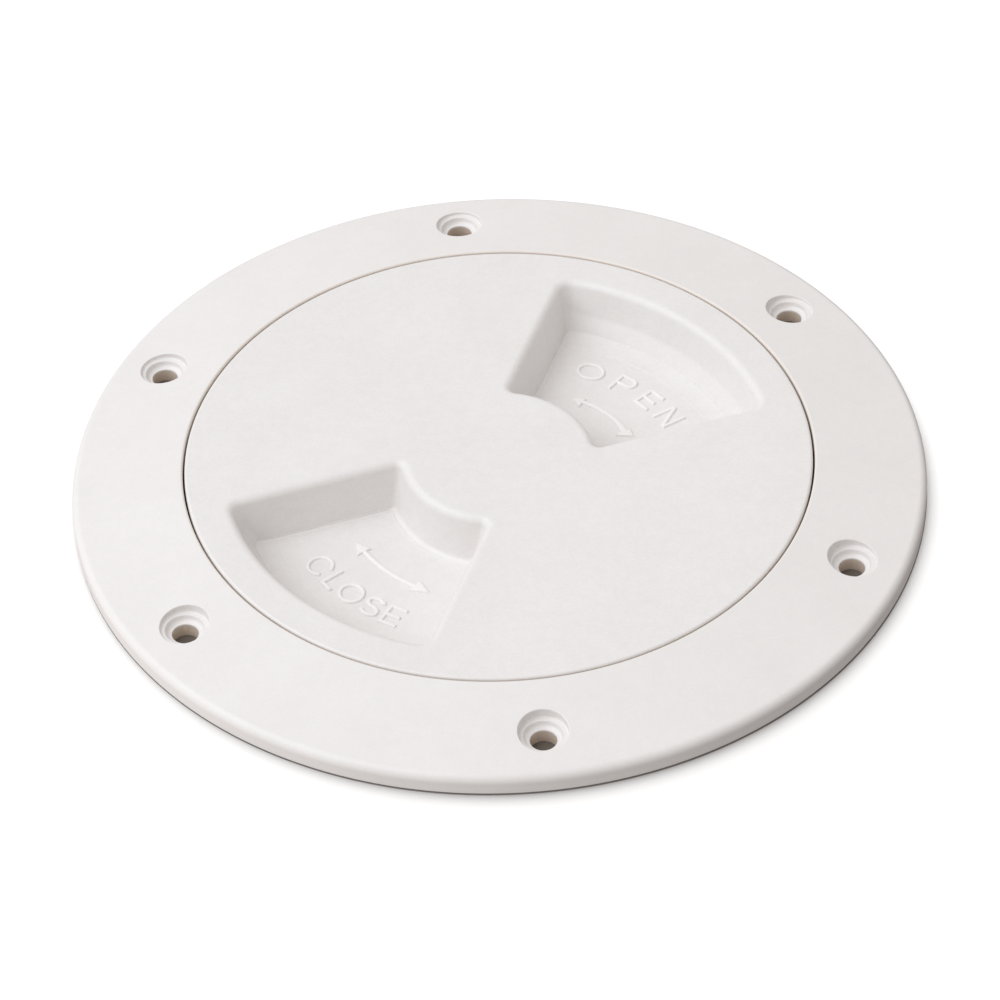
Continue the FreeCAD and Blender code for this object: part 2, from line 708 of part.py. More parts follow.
marks = []
for solid, angle, radius in ((letter_o(3.8, 3.15), 60.6, 48.3), (letter_p(), 49.15, 48.45),
                             (letter_e(5.1), 39.3, 48.6), (letter_n(), 30.0, 48.6)):
    marks.append(on_circle(solid, angle, radius, True))
for solid, angle, radius in ((letter_c(), 28.5, 48.9), (letter_l(), 35.85, 48.6),
                             (letter_o(), 42.8, 48.6), (letter_s(), 50.9, 48.6),
                             (letter_e(), 57.75, 48.6)):
    marks.append(on_circle(solid, angle + 180, radius, False))
marks.append(arrow(
    ((37.7, 27.7), (33.9, 32.4), (38.5, 32.3)), ((37.5, 60.4), (35.5, 55.0), (39.0, 55.0)),
    [(35.75, 32.9), (36.4, 35.6), (36.85, 39.2), (37.1, 44.0), (37.15, 49.4), (36.95, 55.0)],
    [(37.75, 32.4), (37.95, 35.6), (38.2, 39.2), (38.4, 44.0), (38.5, 49.4), (38.25, 55.0)]))
marks.append(arrow(
    ((38.1, 204.6), (35.8, 210.8), (39.85, 210.9)), ((38.15, 243.3), (35.4, 236.4), (39.65, 236.0)),
    [(37.1, 210.8), (37.05, 217.0), (37.05, 223.0), (37.05, 229.5), (37.1, 236.2)],
    [(38.3, 210.8), (38.3, 217.0), (38.3, 223.0), (38.3, 229.5), (38.3, 236.2)]))
lettering = doc.addObject("Part::Feature", "raised_lettering")
lettering.Label = "raised_lettering"
lettering.Shape = Part.makeCompound(marks)
lettering.Placement = Placement()

cover = doc.addObject("Part::MultiFuse", "screw_cover")
cover.Label = "screw_cover"
cover.Shapes = [rounded_cover, lettering]
cover.Placement = Placement()
doc.recompute()

# ---------------------------------------------------------------------------------------
# Checks, then one file for each piece
# ---------------------------------------------------------------------------------------
for obj in doc.Objects:
    bad = [s for s in obj.State if s in ("Invalid", "Error")]
    if bad:
        raise RuntimeError("%s failed: %s" % (obj.Label, ", ".join(bad)))

pieces = {"deck_ring": ring, "seal_ring": seal, "screw_cover": cover}
os.makedirs("parts", exist_ok=True)
for label, obj in pieces.items():
    shape = obj.Shape
    if shape.isNull() or not shape.isValid():
        raise RuntimeError("%s has no valid shape" % label)
    if len(shape.Solids) != 1:
        raise RuntimeError("%s is %d solids" % (label, len(shape.Solids)))
for label, obj in pieces.items():
    box = obj.Shape.BoundBox
    print("%-12s volume %9.1f mm3  z %.2f to %.2f  x %.2f to %.2f" %
          (label, obj.Shape.Volume, box.ZMin, box.ZMax, box.XMin, box.XMax))
    obj.Shape.exportStep(os.path.join("parts", label + ".step"))
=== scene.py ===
import math

import bmesh
import bpy
import numpy as np
from mathutils import Matrix, Vector
from mathutils.geometry import delaunay_2d_cdt


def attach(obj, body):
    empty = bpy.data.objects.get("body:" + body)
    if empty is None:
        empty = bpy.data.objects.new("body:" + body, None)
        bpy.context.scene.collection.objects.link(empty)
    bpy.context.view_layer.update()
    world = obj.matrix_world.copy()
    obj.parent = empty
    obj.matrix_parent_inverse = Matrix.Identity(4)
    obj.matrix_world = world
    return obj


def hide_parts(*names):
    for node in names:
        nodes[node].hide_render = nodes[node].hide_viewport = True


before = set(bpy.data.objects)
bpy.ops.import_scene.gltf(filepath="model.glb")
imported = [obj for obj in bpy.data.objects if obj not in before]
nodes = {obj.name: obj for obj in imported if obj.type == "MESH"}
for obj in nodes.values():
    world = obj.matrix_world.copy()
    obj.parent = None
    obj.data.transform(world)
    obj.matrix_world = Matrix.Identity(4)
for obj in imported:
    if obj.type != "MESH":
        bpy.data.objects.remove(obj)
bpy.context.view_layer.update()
scene = bpy.context.scene


# ---------------------------------------------------------------------------------------
# Node helpers
# ---------------------------------------------------------------------------------------
def new_material(name):
    mat = bpy.data.materials.new(name)
    mat.use_nodes = True
    tree = mat.node_tree
    tree.nodes.clear()
    out = tree.nodes.new("ShaderNodeOutputMaterial")
    return mat, tree, out


def add(tree, kind, **values):
    node = tree.nodes.new(kind)
    for key, value in values.items():
        if hasattr(node, key):
            setattr(node, key, value)
        else:
            node.inputs[key.replace("_", " ")].default_value = value
    return node


def noise(tree, coords, scale, detail=2.0, rough=0.5):
    node = tree.nodes.new("ShaderNodeTexNoise")
    node.inputs["Scale"].default_value = scale
    node.inputs["Detail"].default_value = detail
    node.inputs["Roughness"].default_value = rough
    tree.links.new(coords, node.inputs["Vector"])
    return node


def span(tree, value, low, high, to_low, to_high):
    node = tree.nodes.new("ShaderNodeMapRange")
    node.inputs["From Min"].default_value = low
    node.inputs["From Max"].default_value = high
    node.inputs["To Min"].default_value = to_low
    node.inputs["To Max"].default_value = to_high
    tree.links.new(value, node.inputs["Value"])
    return node.outputs["Result"]


def in_screw_holes(tree, coords, pitch, first_deg, count, radius, top):
    """1 on the walls of a circle of upright holes, below the height top, and 0 elsewhere."""
    def reckon(operation, *values):
        node = tree.nodes.new("ShaderNodeMath")
        node.operation = operation
        for socket, value in zip(node.inputs, values):
            if isinstance(value, (int, float)):
                socket.default_value = value
            else:
                tree.links.new(value, socket)
        return node.outputs[0]

    place = tree.nodes.new("ShaderNodeSeparateXYZ")
    tree.links.new(coords, place.inputs[0])
    x, y, z = place.outputs
    step = 2 * math.pi / count
    angle = reckon("SUBTRACT", reckon("ARCTAN2", y, x), math.radians(first_deg))
    nearest = reckon("MULTIPLY", reckon("ROUND", reckon("DIVIDE", angle, step)), step)
    away = reckon("SUBTRACT", angle, nearest)
    r = reckon("SQRT", reckon("ADD", reckon("MULTIPLY", x, x), reckon("MULTIPLY", y, y)))
    across = reckon("MULTIPLY", r, reckon("SINE", away))
    along = reckon("SUBTRACT", reckon("MULTIPLY", r, reckon("COSINE", away)), pitch)
    reach = reckon("SQRT", reckon("ADD", reckon("MULTIPLY", across, across),
                                  reckon("MULTIPLY", along, along)))
    return reckon("MULTIPLY", span(tree, reach, radius + 0.00006, radius + 0.00016, 1.0, 0.0),
                  span(tree, z, top - 0.0005, top, 1.0, 0.0))


def in_band(tree, coords, radii, heights):
    """1 where both the distance from the axis and the height are past their gates."""
    place = tree.nodes.new("ShaderNodeSeparateXYZ")
    tree.links.new(coords, place.inputs[0])
    flat = tree.nodes.new("ShaderNodeCombineXYZ")
    tree.links.new(place.outputs[0], flat.inputs[0])
    tree.links.new(place.outputs[1], flat.inputs[1])
    radius = tree.nodes.new("ShaderNodeVectorMath")
    radius.operation = "LENGTH"
    tree.links.new(flat.outputs[0], radius.inputs[0])
    node = tree.nodes.new("ShaderNodeMath")
    node.operation = "MULTIPLY"
    tree.links.new(span(tree, radius.outputs["Value"], *radii), node.inputs[0])
    tree.links.new(span(tree, place.outputs[2], *heights), node.inputs[1])
    return node.outputs[0]


def moulded_plastic(name, light, dark, grain=1.0, marks=None, holes=None, joint=None):
    """White satin moulded plastic: a faint cloudiness in the tone, and a fine moulded grain. It can
    also carry a painted highlight on raised marks, and warm painted shade in screw-hole throats and in
    a joint.
    """
    mat, tree, out = new_material(name)
    shader = tree.nodes.new("ShaderNodeBsdfPrincipled")
    tree.links.new(shader.outputs["BSDF"], out.inputs["Surface"])
    coords = tree.nodes.new("ShaderNodeTexCoord").outputs["Object"]

    cloud = noise(tree, coords, 55.0, 3.0, 0.55)
    ramp = tree.nodes.new("ShaderNodeValToRGB")
    ramp.color_ramp.elements[0].position = 0.34
    ramp.color_ramp.elements[0].color = (*dark, 1.0)
    ramp.color_ramp.elements[1].position = 0.66
    ramp.color_ramp.elements[1].color = (*light, 1.0)
    tree.links.new(cloud.outputs["Fac"], ramp.inputs["Fac"])
    speckle = noise(tree, coords, 1500.0, 3.0, 0.65)
    streak = noise(tree, coords, 420.0, 2.0, 0.5)
    tone = tree.nodes.new("ShaderNodeMix")
    tone.data_type = "RGBA"
    tone.blend_type = "MULTIPLY"
    tone.inputs["Factor"].default_value = 1.0
    grey = tree.nodes.new("ShaderNodeMath")
    grey.operation = "MULTIPLY"
    tree.links.new(span(tree, speckle.outputs["Fac"], 0.3, 0.7, 1 - 0.017 * grain,
                        1 + 0.017 * grain), grey.inputs[0])
    tree.links.new(span(tree, streak.outputs["Fac"], 0.3, 0.7, 1 - 0.008 * grain,
                        1 + 0.008 * grain), grey.inputs[1])
    tree.links.new(ramp.outputs["Color"], tone.inputs["A"])
    if marks is None:
        tree.links.new(grey.outputs[0], tone.inputs["B"])
    else:
        # painted highlight: the raised marks, and a low band on the pocket's side walls, are made up
        # to 9.5 % brighter in colour from 0.1 to 0.5 mm above the floor, between radii 27 and 56 mm
        foot, reach = marks
        place = tree.nodes.new("ShaderNodeSeparateXYZ")
        tree.links.new(coords, place.inputs[0])
        flat = tree.nodes.new("ShaderNodeCombineXYZ")
        tree.links.new(place.outputs[0], flat.inputs[0])
        tree.links.new(place.outputs[1], flat.inputs[1])
        radius = tree.nodes.new("ShaderNodeVectorMath")
        radius.operation = "LENGTH"
        tree.links.new(flat.outputs[0], radius.inputs[0])
        grain_under_highlight = grey.outputs[0]
        gates = [span(tree, place.outputs[2], foot + 0.00010, foot + 0.00022, 0.0, 0.095),
                 span(tree, place.outputs[2], foot + 0.00044, foot + 0.00050, 1.0, 0.0),
                 span(tree, radius.outputs["Value"], reach - 0.0002, reach, 1.0, 0.0),
                 span(tree, radius.outputs["Value"], 0.0268, 0.0274, 0.0, 1.0)]
        share = gates[0]
        for gate in gates[1:]:
            node = tree.nodes.new("ShaderNodeMath")
            node.operation = "MULTIPLY"
            tree.links.new(share, node.inputs[0])
            tree.links.new(gate, node.inputs[1])
            share = node.outputs[0]
        more = tree.nodes.new("ShaderNodeMath")
        more.operation = "MULTIPLY_ADD"
        tree.links.new(share, more.inputs[0])
        tree.links.new(grain_under_highlight, more.inputs[1])
        tree.links.new(grain_under_highlight, more.inputs[2])
        tree.links.new(more.outputs[0], tone.inputs["B"])
    # warm brown painted shade: in the throats of the screw holes and down in the joint of ring and
    # cover
    base = tone.outputs["Result"]
    painted_shade = []
    if holes is not None:
        painted_shade.append((in_screw_holes(tree, coords, *holes), (0.84, 0.735, 0.63, 1.0)))
    if joint is not None:
        painted_shade.append((in_band(tree, coords, *joint), (1.0, 0.945, 0.885, 1.0)))
    for share, colour in painted_shade:
        shade_tint = tree.nodes.new("ShaderNodeMix")
        shade_tint.data_type = "RGBA"
        shade_tint.blend_type = "MULTIPLY"
        shade_tint.inputs["B"].default_value = colour
        tree.links.new(share, shade_tint.inputs["Factor"])
        tree.links.new(base, shade_tint.inputs["A"])
        base = shade_tint.outputs["Result"]
    tree.links.new(base, shader.inputs["Base Color"])

    patch = noise(tree, coords, 140.0, 2.0, 0.5)
    tree.links.new(span(tree, patch.outputs["Fac"], 0.3, 0.7, 0.40, 0.50),
                   shader.inputs["Roughness"])

    fine = noise(tree, coords, 1900.0, 2.0, 0.6)
    swell = noise(tree, coords, 260.0, 1.0, 0.5)
    bump_fine = tree.nodes.new("ShaderNodeBump")
    bump_fine.inputs["Strength"].default_value = 0.35 * grain
    bump_fine.inputs["Distance"].default_value = 0.00003
    tree.links.new(fine.outputs["Fac"], bump_fine.inputs["Height"])
    bump_swell = tree.nodes.new("ShaderNodeBump")
    bump_swell.inputs["Strength"].default_value = 0.30 * grain
    bump_swell.inputs["Distance"].default_value = 0.00006
    tree.links.new(swell.outputs["Fac"], bump_swell.inputs["Height"])
    tree.links.new(bump_fine.outputs["Normal"], bump_swell.inputs["Normal"])
    tree.links.new(bump_swell.outputs["Normal"], shader.inputs["Normal"])

    shader.inputs["IOR"].default_value = 1.5
    shader.inputs["Specular IOR Level"].default_value = 0.5
    return mat


def dull_rubber(name):
    mat, tree, out = new_material(name)
    shader = tree.nodes.new("ShaderNodeBsdfPrincipled")
    tree.links.new(shader.outputs["BSDF"], out.inputs["Surface"])
    coords = tree.nodes.new("ShaderNodeTexCoord").outputs["Object"]
    bloom = noise(tree, coords, 420.0, 3.0, 0.6)
    ramp = tree.nodes.new("ShaderNodeValToRGB")
    ramp.color_ramp.elements[0].position = 0.35
    ramp.color_ramp.elements[0].color = (0.062, 0.046, 0.036, 1.0)
    ramp.color_ramp.elements[1].position = 0.75
    ramp.color_ramp.elements[1].color = (0.105, 0.080, 0.062, 1.0)
    tree.links.new(bloom.outputs["Fac"], ramp.inputs["Fac"])
    tree.links.new(ramp.outputs["Color"], shader.inputs["Base Color"])
    tree.links.new(span(tree, bloom.outputs["Fac"], 0.3, 0.7, 0.55, 0.72),
                   shader.inputs["Roughness"])
    grit = noise(tree, coords, 3200.0, 2.0, 0.6)
    bump = tree.nodes.new("ShaderNodeBump")
    bump.inputs["Strength"].default_value = 0.4
    bump.inputs["Distance"].default_value = 0.00004
    tree.links.new(grit.outputs["Fac"], bump.inputs["Height"])
    tree.links.new(bump.outputs["Normal"], shader.inputs["Normal"])
    return mat


def dress(node, mat):
    node.data.materials.clear()
    node.data.materials.append(mat)


DECK_TONE, FLOOR_Z = 0.70, -0.0035
SKY, SKY_TINT, BOUNCE_TINT = 0.632, (1.030, 1.0, 0.976), (1.07, 1.0, 0.955)
SKY_LEAN, SKY_FROM = 0.09, 105.0
BOUNCE, BOUNCE_LOBE, BOUNCE_FROM, BOUNCE_LEAST = 0.355, 0.62, 191.0, 0.17
KEY_AZ, KEY_EL, KEY_ANGLE, KEY_FAR, KEY_LEVEL = 195.0, 52.5, 58.0, 2.8, 0.410
KEY_TINT = (0.942, 1.0, 1.050)
WASH_AZ, WASH_EL, WASH_ANGLE, WASH_FAR, WASH_LEVEL = 116.0, 62.0, 62.0, 3.0, 0.96

# ring: the last two tuples set warm painted shade in the screw-hole throats and down in the joint with
# the cover
ring_mat = moulded_plastic("ring_plastic", (0.817, 0.790, 0.777), (0.797, 0.769, 0.756), 1.0, None,
                           (0.0896, 34.9, 6, 0.0031, 0.0034),
                           ((0.0754, 0.0759, 1.0, 0.0), (0.0032, 0.0040, 0.0, 1.0)))
# cover: (FLOOR_Z, 0.0558) sets the painted highlight on the raised marks; the last tuple sets warm
# painted shade on the cover's edge down in the joint
cover_mat = moulded_plastic("cover_plastic", (0.808, 0.782, 0.769), (0.786, 0.759, 0.746), 1.5,
                            (FLOOR_Z, 0.0558), None,
                            ((0.0746, 0.0748, 0.0, 1.0), (0.0080, 0.0084, 1.0, 0.0)))
seal_mat = dull_rubber("seal_rubber")
dress(nodes["deck_ring"], ring_mat)
dress(nodes["screw_cover"], cover_mat)
dress(nodes["seal_ring"], seal_mat)

# ---------------------------------------------------------------------------------------
# Fine skins of the two mouldings, in millimetres. Each is one closed surface.
# ---------------------------------------------------------------------------------------
AROUND = 720
CROWN, SLOPE, RECESS, RIM = 8.85, 0.146, 75.3, 102.0
UNDER, FLOOR = 5.65, -3.5


class Skin:
    """Points and faces of one closed surface. Equal points are shared."""

    def __init__(self):
        self.points, self.faces, self.known = [], [], {}

    def point(self, p):
        key = (round(p[0] * 2e3), round(p[1] * 2e3), round(p[2] * 2e3))
        if key not in self.known:
            self.known[key] = len(self.points)
            self.points.append(p)
        return self.known[key]

    def face(self, points):
        ids = []
        for p in points:
            i = self.point(p)
            if i not in ids:
                ids.append(i)
        if len(ids) > 2:
            self.faces.append(ids)

    def strip(self, a, b):
        n = len(a)
        for i in range(n):
            j = (i + 1) % n
            self.face((a[i], a[j], b[j], b[i]))

    def strips(self, loops):
        for a, b in zip(loops, loops[1:]):
            self.strip(a, b)

    def lathe(self, profile, count=AROUND, centre=(0.0, 0.0)):
        self.strips([ring(r, z, count, centre) for r, z in profile])

    def fill(self, edges, height, held=(), loose=()):
        """The area between closed loops, by the odd-even rule, as triangles.

        held: more closed loops or open lines whose edges are kept. loose: single points."""
        flat, given, lines = [], [], []
        for loop in edges:
            first = len(flat)
            for p in loop:
                flat.append(Vector((p[0], p[1])))
                given.append(p)
            n = len(loop)
            lines += [(first + i, first + (i + 1) % n) for i in range(n)]
        for line, shut in held:
            first = len(flat)
            for x, y in line:
                flat.append(Vector((x, y)))
                given.append((x, y, height(x, y)))
            n = len(line)
            lines += [(first + i, first + (i + 1) % n) for i in range(n if shut else n - 1)]
        for x, y in loose:
            flat.append(Vector((x, y)))
            given.append((x, y, height(x, y)))
        out, _, tris, origin, _, _ = delaunay_2d_cdt(flat, lines, [], 0, 1e-7, True)
        solid = [given[origin[i][0]] if origin[i] else (v.x, v.y, height(v.x, v.y))
                 for i, v in enumerate(out)]
        mid = np.array([[sum(out[i].x for i in t) / 3, sum(out[i].y for i in t) / 3]
                        for t in tris])
        a = np.array([(p[0], p[1]) for loop in edges for p in loop])
        b = np.array([(p[0], p[1]) for loop in edges for p in loop[1:] + loop[:1]])
        within = []
        for start in range(0, len(mid), 1500):
            m = mid[start:start + 1500]
            px, py = m[:, :1], m[:, 1:]
            over = (a[:, 1] > py) != (b[:, 1] > py)
            rise = np.where(b[:, 1] == a[:, 1], 1.0, b[:, 1] - a[:, 1])
            hit = over & (px < (b[:, 0] - a[:, 0]) * (py - a[:, 1]) / rise + a[:, 0])
            within += list(hit.sum(axis=1) % 2 == 1)

        # a sliver along an edge takes the state of the triangle on its open side
        place = {}
        for i, ids in enumerate(origin):
            for k in ids:
                place[k] = i
        walls, first = set(), 0
        for loop in edges:
            n = len(loop)
            walls |= {frozenset((place[first + i], place[first + (i + 1) % n]))
                      for i in range(n)}
            first += n
        beside = {}
        for k, t in enumerate(tris):
            for i in range(3):
                beside.setdefault(frozenset((t[i], t[(i + 1) % 3])), []).append(k)

        def thin(k):
            p, q, r = (out[i] for i in tris[k])
            double = abs((q.x - p.x) * (r.y - p.y) - (r.x - p.x) * (q.y - p.y))
            longest = max((q - p).length, (r - q).length, (p - r).length)
            return double / longest < 2e-4

        slivers = [k for k in range(len(tris)) if thin(k)]
        unsure = set(slivers)
        for _ in range(6):
            for k in slivers:
                if k not in unsure:
                    continue
                t = tris[k]
                for i in range(3):
                    edge = frozenset((t[i], t[(i + 1) % 3]))
                    if edge in walls:
                        continue
                    others = [j for j in beside[edge] if j != k]
                    if not others:
                        within[k] = False
                        unsure.discard(k)
                    elif others[0] not in unsure:
                        within[k] = within[others[0]]
                        unsure.discard(k)
                        break
        for k, t in enumerate(tris):
            if within[k]:
                self.face([solid[i] for i in t])

    def build(self, name, sharp_deg=33.0):
        mesh = bpy.data.meshes.new(name)
        mesh.from_pydata([(x * 0.001, y * 0.001, z * 0.001) for x, y, z in self.points],
                         [], self.faces)
        work = bmesh.new()
        work.from_mesh(mesh)
        bmesh.ops.recalc_face_normals(work, faces=work.faces)
        open_edges = 0
        limit = math.radians(sharp_deg)
        for edge in work.edges:
            if len(edge.link_faces) != 2:
                open_edges += 1
                edge.smooth = False
            else:
                edge.smooth = edge.calc_face_angle(0.0) < limit
        for face in work.faces:
            face.smooth = True
        work.to_mesh(mesh)
        work.free()
        print("%s: %d points, %d faces, %d open edges"
              % (name, len(mesh.vertices), len(mesh.polygons), open_edges))
        obj = bpy.data.objects.new(name, mesh)
        scene.collection.objects.link(obj)
        return obj


def ring(r, z, count=AROUND, centre=(0.0, 0.0)):
    return [(centre[0] + r * math.cos(2 * math.pi * i / count),
             centre[1] + r * math.sin(2 * math.pi * i / count), z) for i in range(count)]


def plan(loop):
    return [(p[0], p[1]) for p in loop]


def mix(a, b, t):
    return a + (b - a) * t


def rounded(corners, turn_deg=8.0, ease=0.15):
    """A section line through (r, z, radius) corners, with each corner rounded.

    A point eases in beside each rounding, so that flats stay flat in the shading."""
    out = [corners[0][:2]]
    for (xa, za, _), (x, z, radius), (xb, zb, _) in zip(corners, corners[1:], corners[2:]):
        la, lb = math.hypot(xa - x, za - z), math.hypot(xb - x, zb - z)
        ua, ub = ((xa - x) / la, (za - z) / la), ((xb - x) / lb, (zb - z) / lb)
        if radius <= 0:
            out.append((x, z))
            continue
        angle = math.acos(max(-1.0, min(1.0, ua[0] * ub[0] + ua[1] * ub[1])))
        reach = radius / math.tan(angle / 2)
        pa = (x + ua[0] * reach, z + ua[1] * reach)
        pb = (x + ub[0] * reach, z + ub[1] * reach)
        half = radius / math.sin(angle / 2)
        bis = (ua[0] + ub[0], ua[1] + ub[1])
        lbis = math.hypot(*bis)
        centre = (x + bis[0] / lbis * half, z + bis[1] / lbis * half)
        t0 = math.atan2(pa[1] - centre[1], pa[0] - centre[0])
        sweep = (math.atan2(pb[1] - centre[1], pb[0] - centre[0]) - t0 + math.pi) \
            % (2 * math.pi) - math.pi
        n = max(2, int(math.ceil(abs(math.degrees(sweep)) / turn_deg)))
        before = math.hypot(out[-1][0] - pa[0], out[-1][1] - pa[1])
        if before > 2.2 * ease:
            out.append((pa[0] + ua[0] * ease, pa[1] + ua[1] * ease))
        out += [(centre[0] + radius * math.cos(t0 + sweep * i / n),
                 centre[1] + radius * math.sin(t0 + sweep * i / n)) for i in range(n + 1)]
        if lb - reach > 2.2 * ease:
            out.append((pb[0] + ub[0] * ease, pb[1] + ub[1] * ease))
    out.append(corners[-1][:2])
    return out


def threaded_wall(skin, wall, crest, bottom, top, start):
    """A round wall with two starts of the trapezoid thread, 9 mm a turn, 300 degrees each."""
    base, flat, lead = 1.15, 0.65, 9.0

    def at(r, z, i):
        a = 2 * math.pi * i / AROUND
        return (r * math.cos(a), r * math.sin(a), z)

    def tooth(z, i):
        return [at(wall, z - base, i), at(crest, z - flat, i), at(crest, z + flat, i),
                at(wall, z + base, i)]

    half, third = AROUND // 2, AROUND // 3
    for side in (0, half):
        for i in range(half):
            rows = []
            for j in (i, i + 1):
                low = start + lead * j / AROUND
                col = [at(wall, bottom, side + j)] + tooth(low, side + j)
                if i < third:
                    col += tooth(low + lead / 2, side + j)
                rows.append(col + [at(wall, top, side + j)])
            for k in range(len(rows[0]) - 1):
                cell = [rows[0][k], rows[0][k + 1], rows[1][k + 1], rows[1][k]]
                if i == third and k == 4:
                    # the upper start has just ended on this cell's first side
                    end = tooth(start + lead * i / AROUND + lead / 2, side + i)
                    cell = [rows[0][k], end[0], end[3], rows[0][k + 1], rows[1][k + 1],
                            rows[1][k]]
                if i == half - 1 and k == 0:
                    # a new start begins on this cell's second side
                    new = tooth(start, side + half)
                    cell = [rows[0][0], rows[0][1], rows[1][1], new[3], new[0], rows[1][0]]
                skin.face(cell)
        skin.face(tooth(start, side))
        skin.face(tooth(start + lead * third / AROUND + lead / 2, side + third))


# ---------------------------------------------------------------------------------------
# The ring
# ---------------------------------------------------------------------------------------
def crown(x, y):
    return CROWN - SLOPE * (math.hypot(x, y) - RECESS)


def ring_skin():
    skin = Skin()
    seat = 3.1
    edge = CROWN - SLOPE * (RIM - RECESS)
    line = rounded([(RECESS, seat, 0), (RECESS, CROWN, 0.5), (RIM, edge, 2.1), (RIM, 0.0, 0.6),
                    (99.0, 0.0, 0)], 7.0)
    # the crowned top lies between the two roundings; the holes are set into it
    gaps = [math.hypot(b[0] - a[0], b[1] - a[1]) for a, b in zip(line, line[1:])]
    split = gaps.index(max(gaps))
    inner, outer = line[:split + 1], line[split + 1:]
    skin.lathe(inner)
    skin.lathe(outer)
    centres = [(89.6 * math.cos(math.radians(34.9 + 60 * k)),
                89.6 * math.sin(math.radians(34.9 + 60 * k))) for k in range(6)]
    brim, head, count = 0.22, 5.75, 96

    def around(c, r, drop=0.0, n=count):
        pts = [(c[0] + r * math.cos(2 * math.pi * i / n), c[1] + r * math.sin(2 * math.pi * i / n))
               for i in range(n)]
        return [(x, y, crown(x, y) - drop) for x, y in pts]

    mouths = [around(c, head + brim) for c in centres]
    held, loose = [], []
    for c in centres:
        held.append((plan(around(c, head + brim + 0.15)), True))
        held.append((plan(around(c, head + brim + 0.7, 0, 48)), True))
    for k in range(12):
        r = 77.4 + 2.05 * k
        if r > outer[0][0] - 0.7:
            break
        for i in range(240):
            a = 2 * math.pi * (i + 0.5 * (k % 2)) / 240
            x, y = r * math.cos(a), r * math.sin(a)
            if all(math.hypot(x - c[0], y - c[1]) > head + brim + 1.2 for c in centres):
                loose.append((x, y))
    skin.fill([ring(*inner[-1]), ring(*outer[0])] + mouths, crown, held, loose)

    step = rounded([(head, 5.7, 0), (head, 5.1, 0.35), (4.6, 5.1, 0.3), (4.15, 3.6, 0.9),
                    (3.1, 3.6, 0.15), (3.1, 0.0, 0)], 12.0, 0.1)
    for c in centres:
        loops = [around(c, head + brim * (1 - math.sin(math.radians(t))),
                        brim * (1 - math.cos(math.radians(t)))) for t in (0, 15, 30, 45, 60, 75, 90)]
        loops += [around(c, head, brim + 0.12)]
        loops += [ring(r, z, count, c) for r, z in step[1:]]
        skin.strips(loops)

    # the hollow under the flange: cells between radial ribs, with a boss in every second one
    roof = lambda x, y: crown(x, y) - 3.0
    half_rib = 0.75
    floor_loops = []
    for k in range(6):
        for lo, hi, bossed in ((-20.0, 20.0, True), (20.0, 40.0, False)):
            a0, a1 = math.radians(34.9 + 60 * k + lo), math.radians(34.9 + 60 * k + hi)
            cell = []
            for r, back in ((98.4, False), (79.2, True)):
                t0, t1 = a0 + math.asin(half_rib / r), a1 - math.asin(half_rib / r)
                n = int(math.ceil(math.degrees(t1 - t0)))
                arc = [(r * math.cos(mix(t0, t1, i / n)), r * math.sin(mix(t0, t1, i / n)))
                       for i in range(n + 1)]
                cell += arc[::-1] if back else arc
            foot = [(x, y, 0.0) for x, y in cell]
            top = [(x, y, roof(x, y)) for x, y in cell]
            skin.strip(foot, top)
            floor_loops.append(foot)
            inside = [(r * math.cos(mix(a0, a1, i / n)), r * math.sin(mix(a0, a1, i / n)))
                      for r in (83.0, 86.5, 90.0, 94.0) for i in range(2, n - 1, 2)]
            tops = [top]
            if bossed:
                c = centres[k]
                wall = ring(7.6, 0.0, count, c)
                cap = [(x, y, roof(x, y)) for x, y, _ in wall]
                skin.strip(wall, cap)
                floor_loops.append(wall)
                tops.append(cap)
                inside = [p for p in inside if math.hypot(p[0] - c[0], p[1] - c[1]) > 8.2]
            skin.fill(tops, roof, (), inside)
    throats = [ring(3.1, 0.0, count, c) for c in centres]
    skin.fill([ring(99.0, 0.0), ring(75.2, 0.0)] + floor_loops + throats, lambda x, y: 0.0)

    # the collar, with the thread on its inside
    skin.lathe([(75.2, 0.0), (75.2, -15.5), (74.7, -16.0), (72.5, -16.0), (72.0, -15.5)])
    threaded_wall(skin, 72.0, 70.5, -15.5, 2.6, -12.25)
    skin.lathe([(72.0, 2.6), (72.5, 3.1), (RECESS, seat)])
    return skin


# ---------------------------------------------------------------------------------------
# The cover
# ---------------------------------------------------------------------------------------
AXIS, SIDE = 43.2, math.radians(26.3)
ALONG, OUT = (math.cos(SIDE), math.sin(SIDE)), (-math.sin(SIDE), math.cos(SIDE))
N_ARC, N_CORNER, N_SIDE, N_INNER = 64, 12, 26, 24


def outer_corner(rad, off, c):
    reach = math.sqrt((rad - c) ** 2 - (off - c) ** 2)
    return reach, (reach * ALONG[0] + (off - c) * OUT[0], reach * ALONG[1] + (off - c) * OUT[1])


def inner_corner(rad, off, c):
    reach = math.sqrt((rad + c) ** 2 - (off - c) ** 2)
    return reach, (reach * ALONG[0] + (off - c) * OUT[0], reach * ALONG[1] + (off - c) * OUT[1])


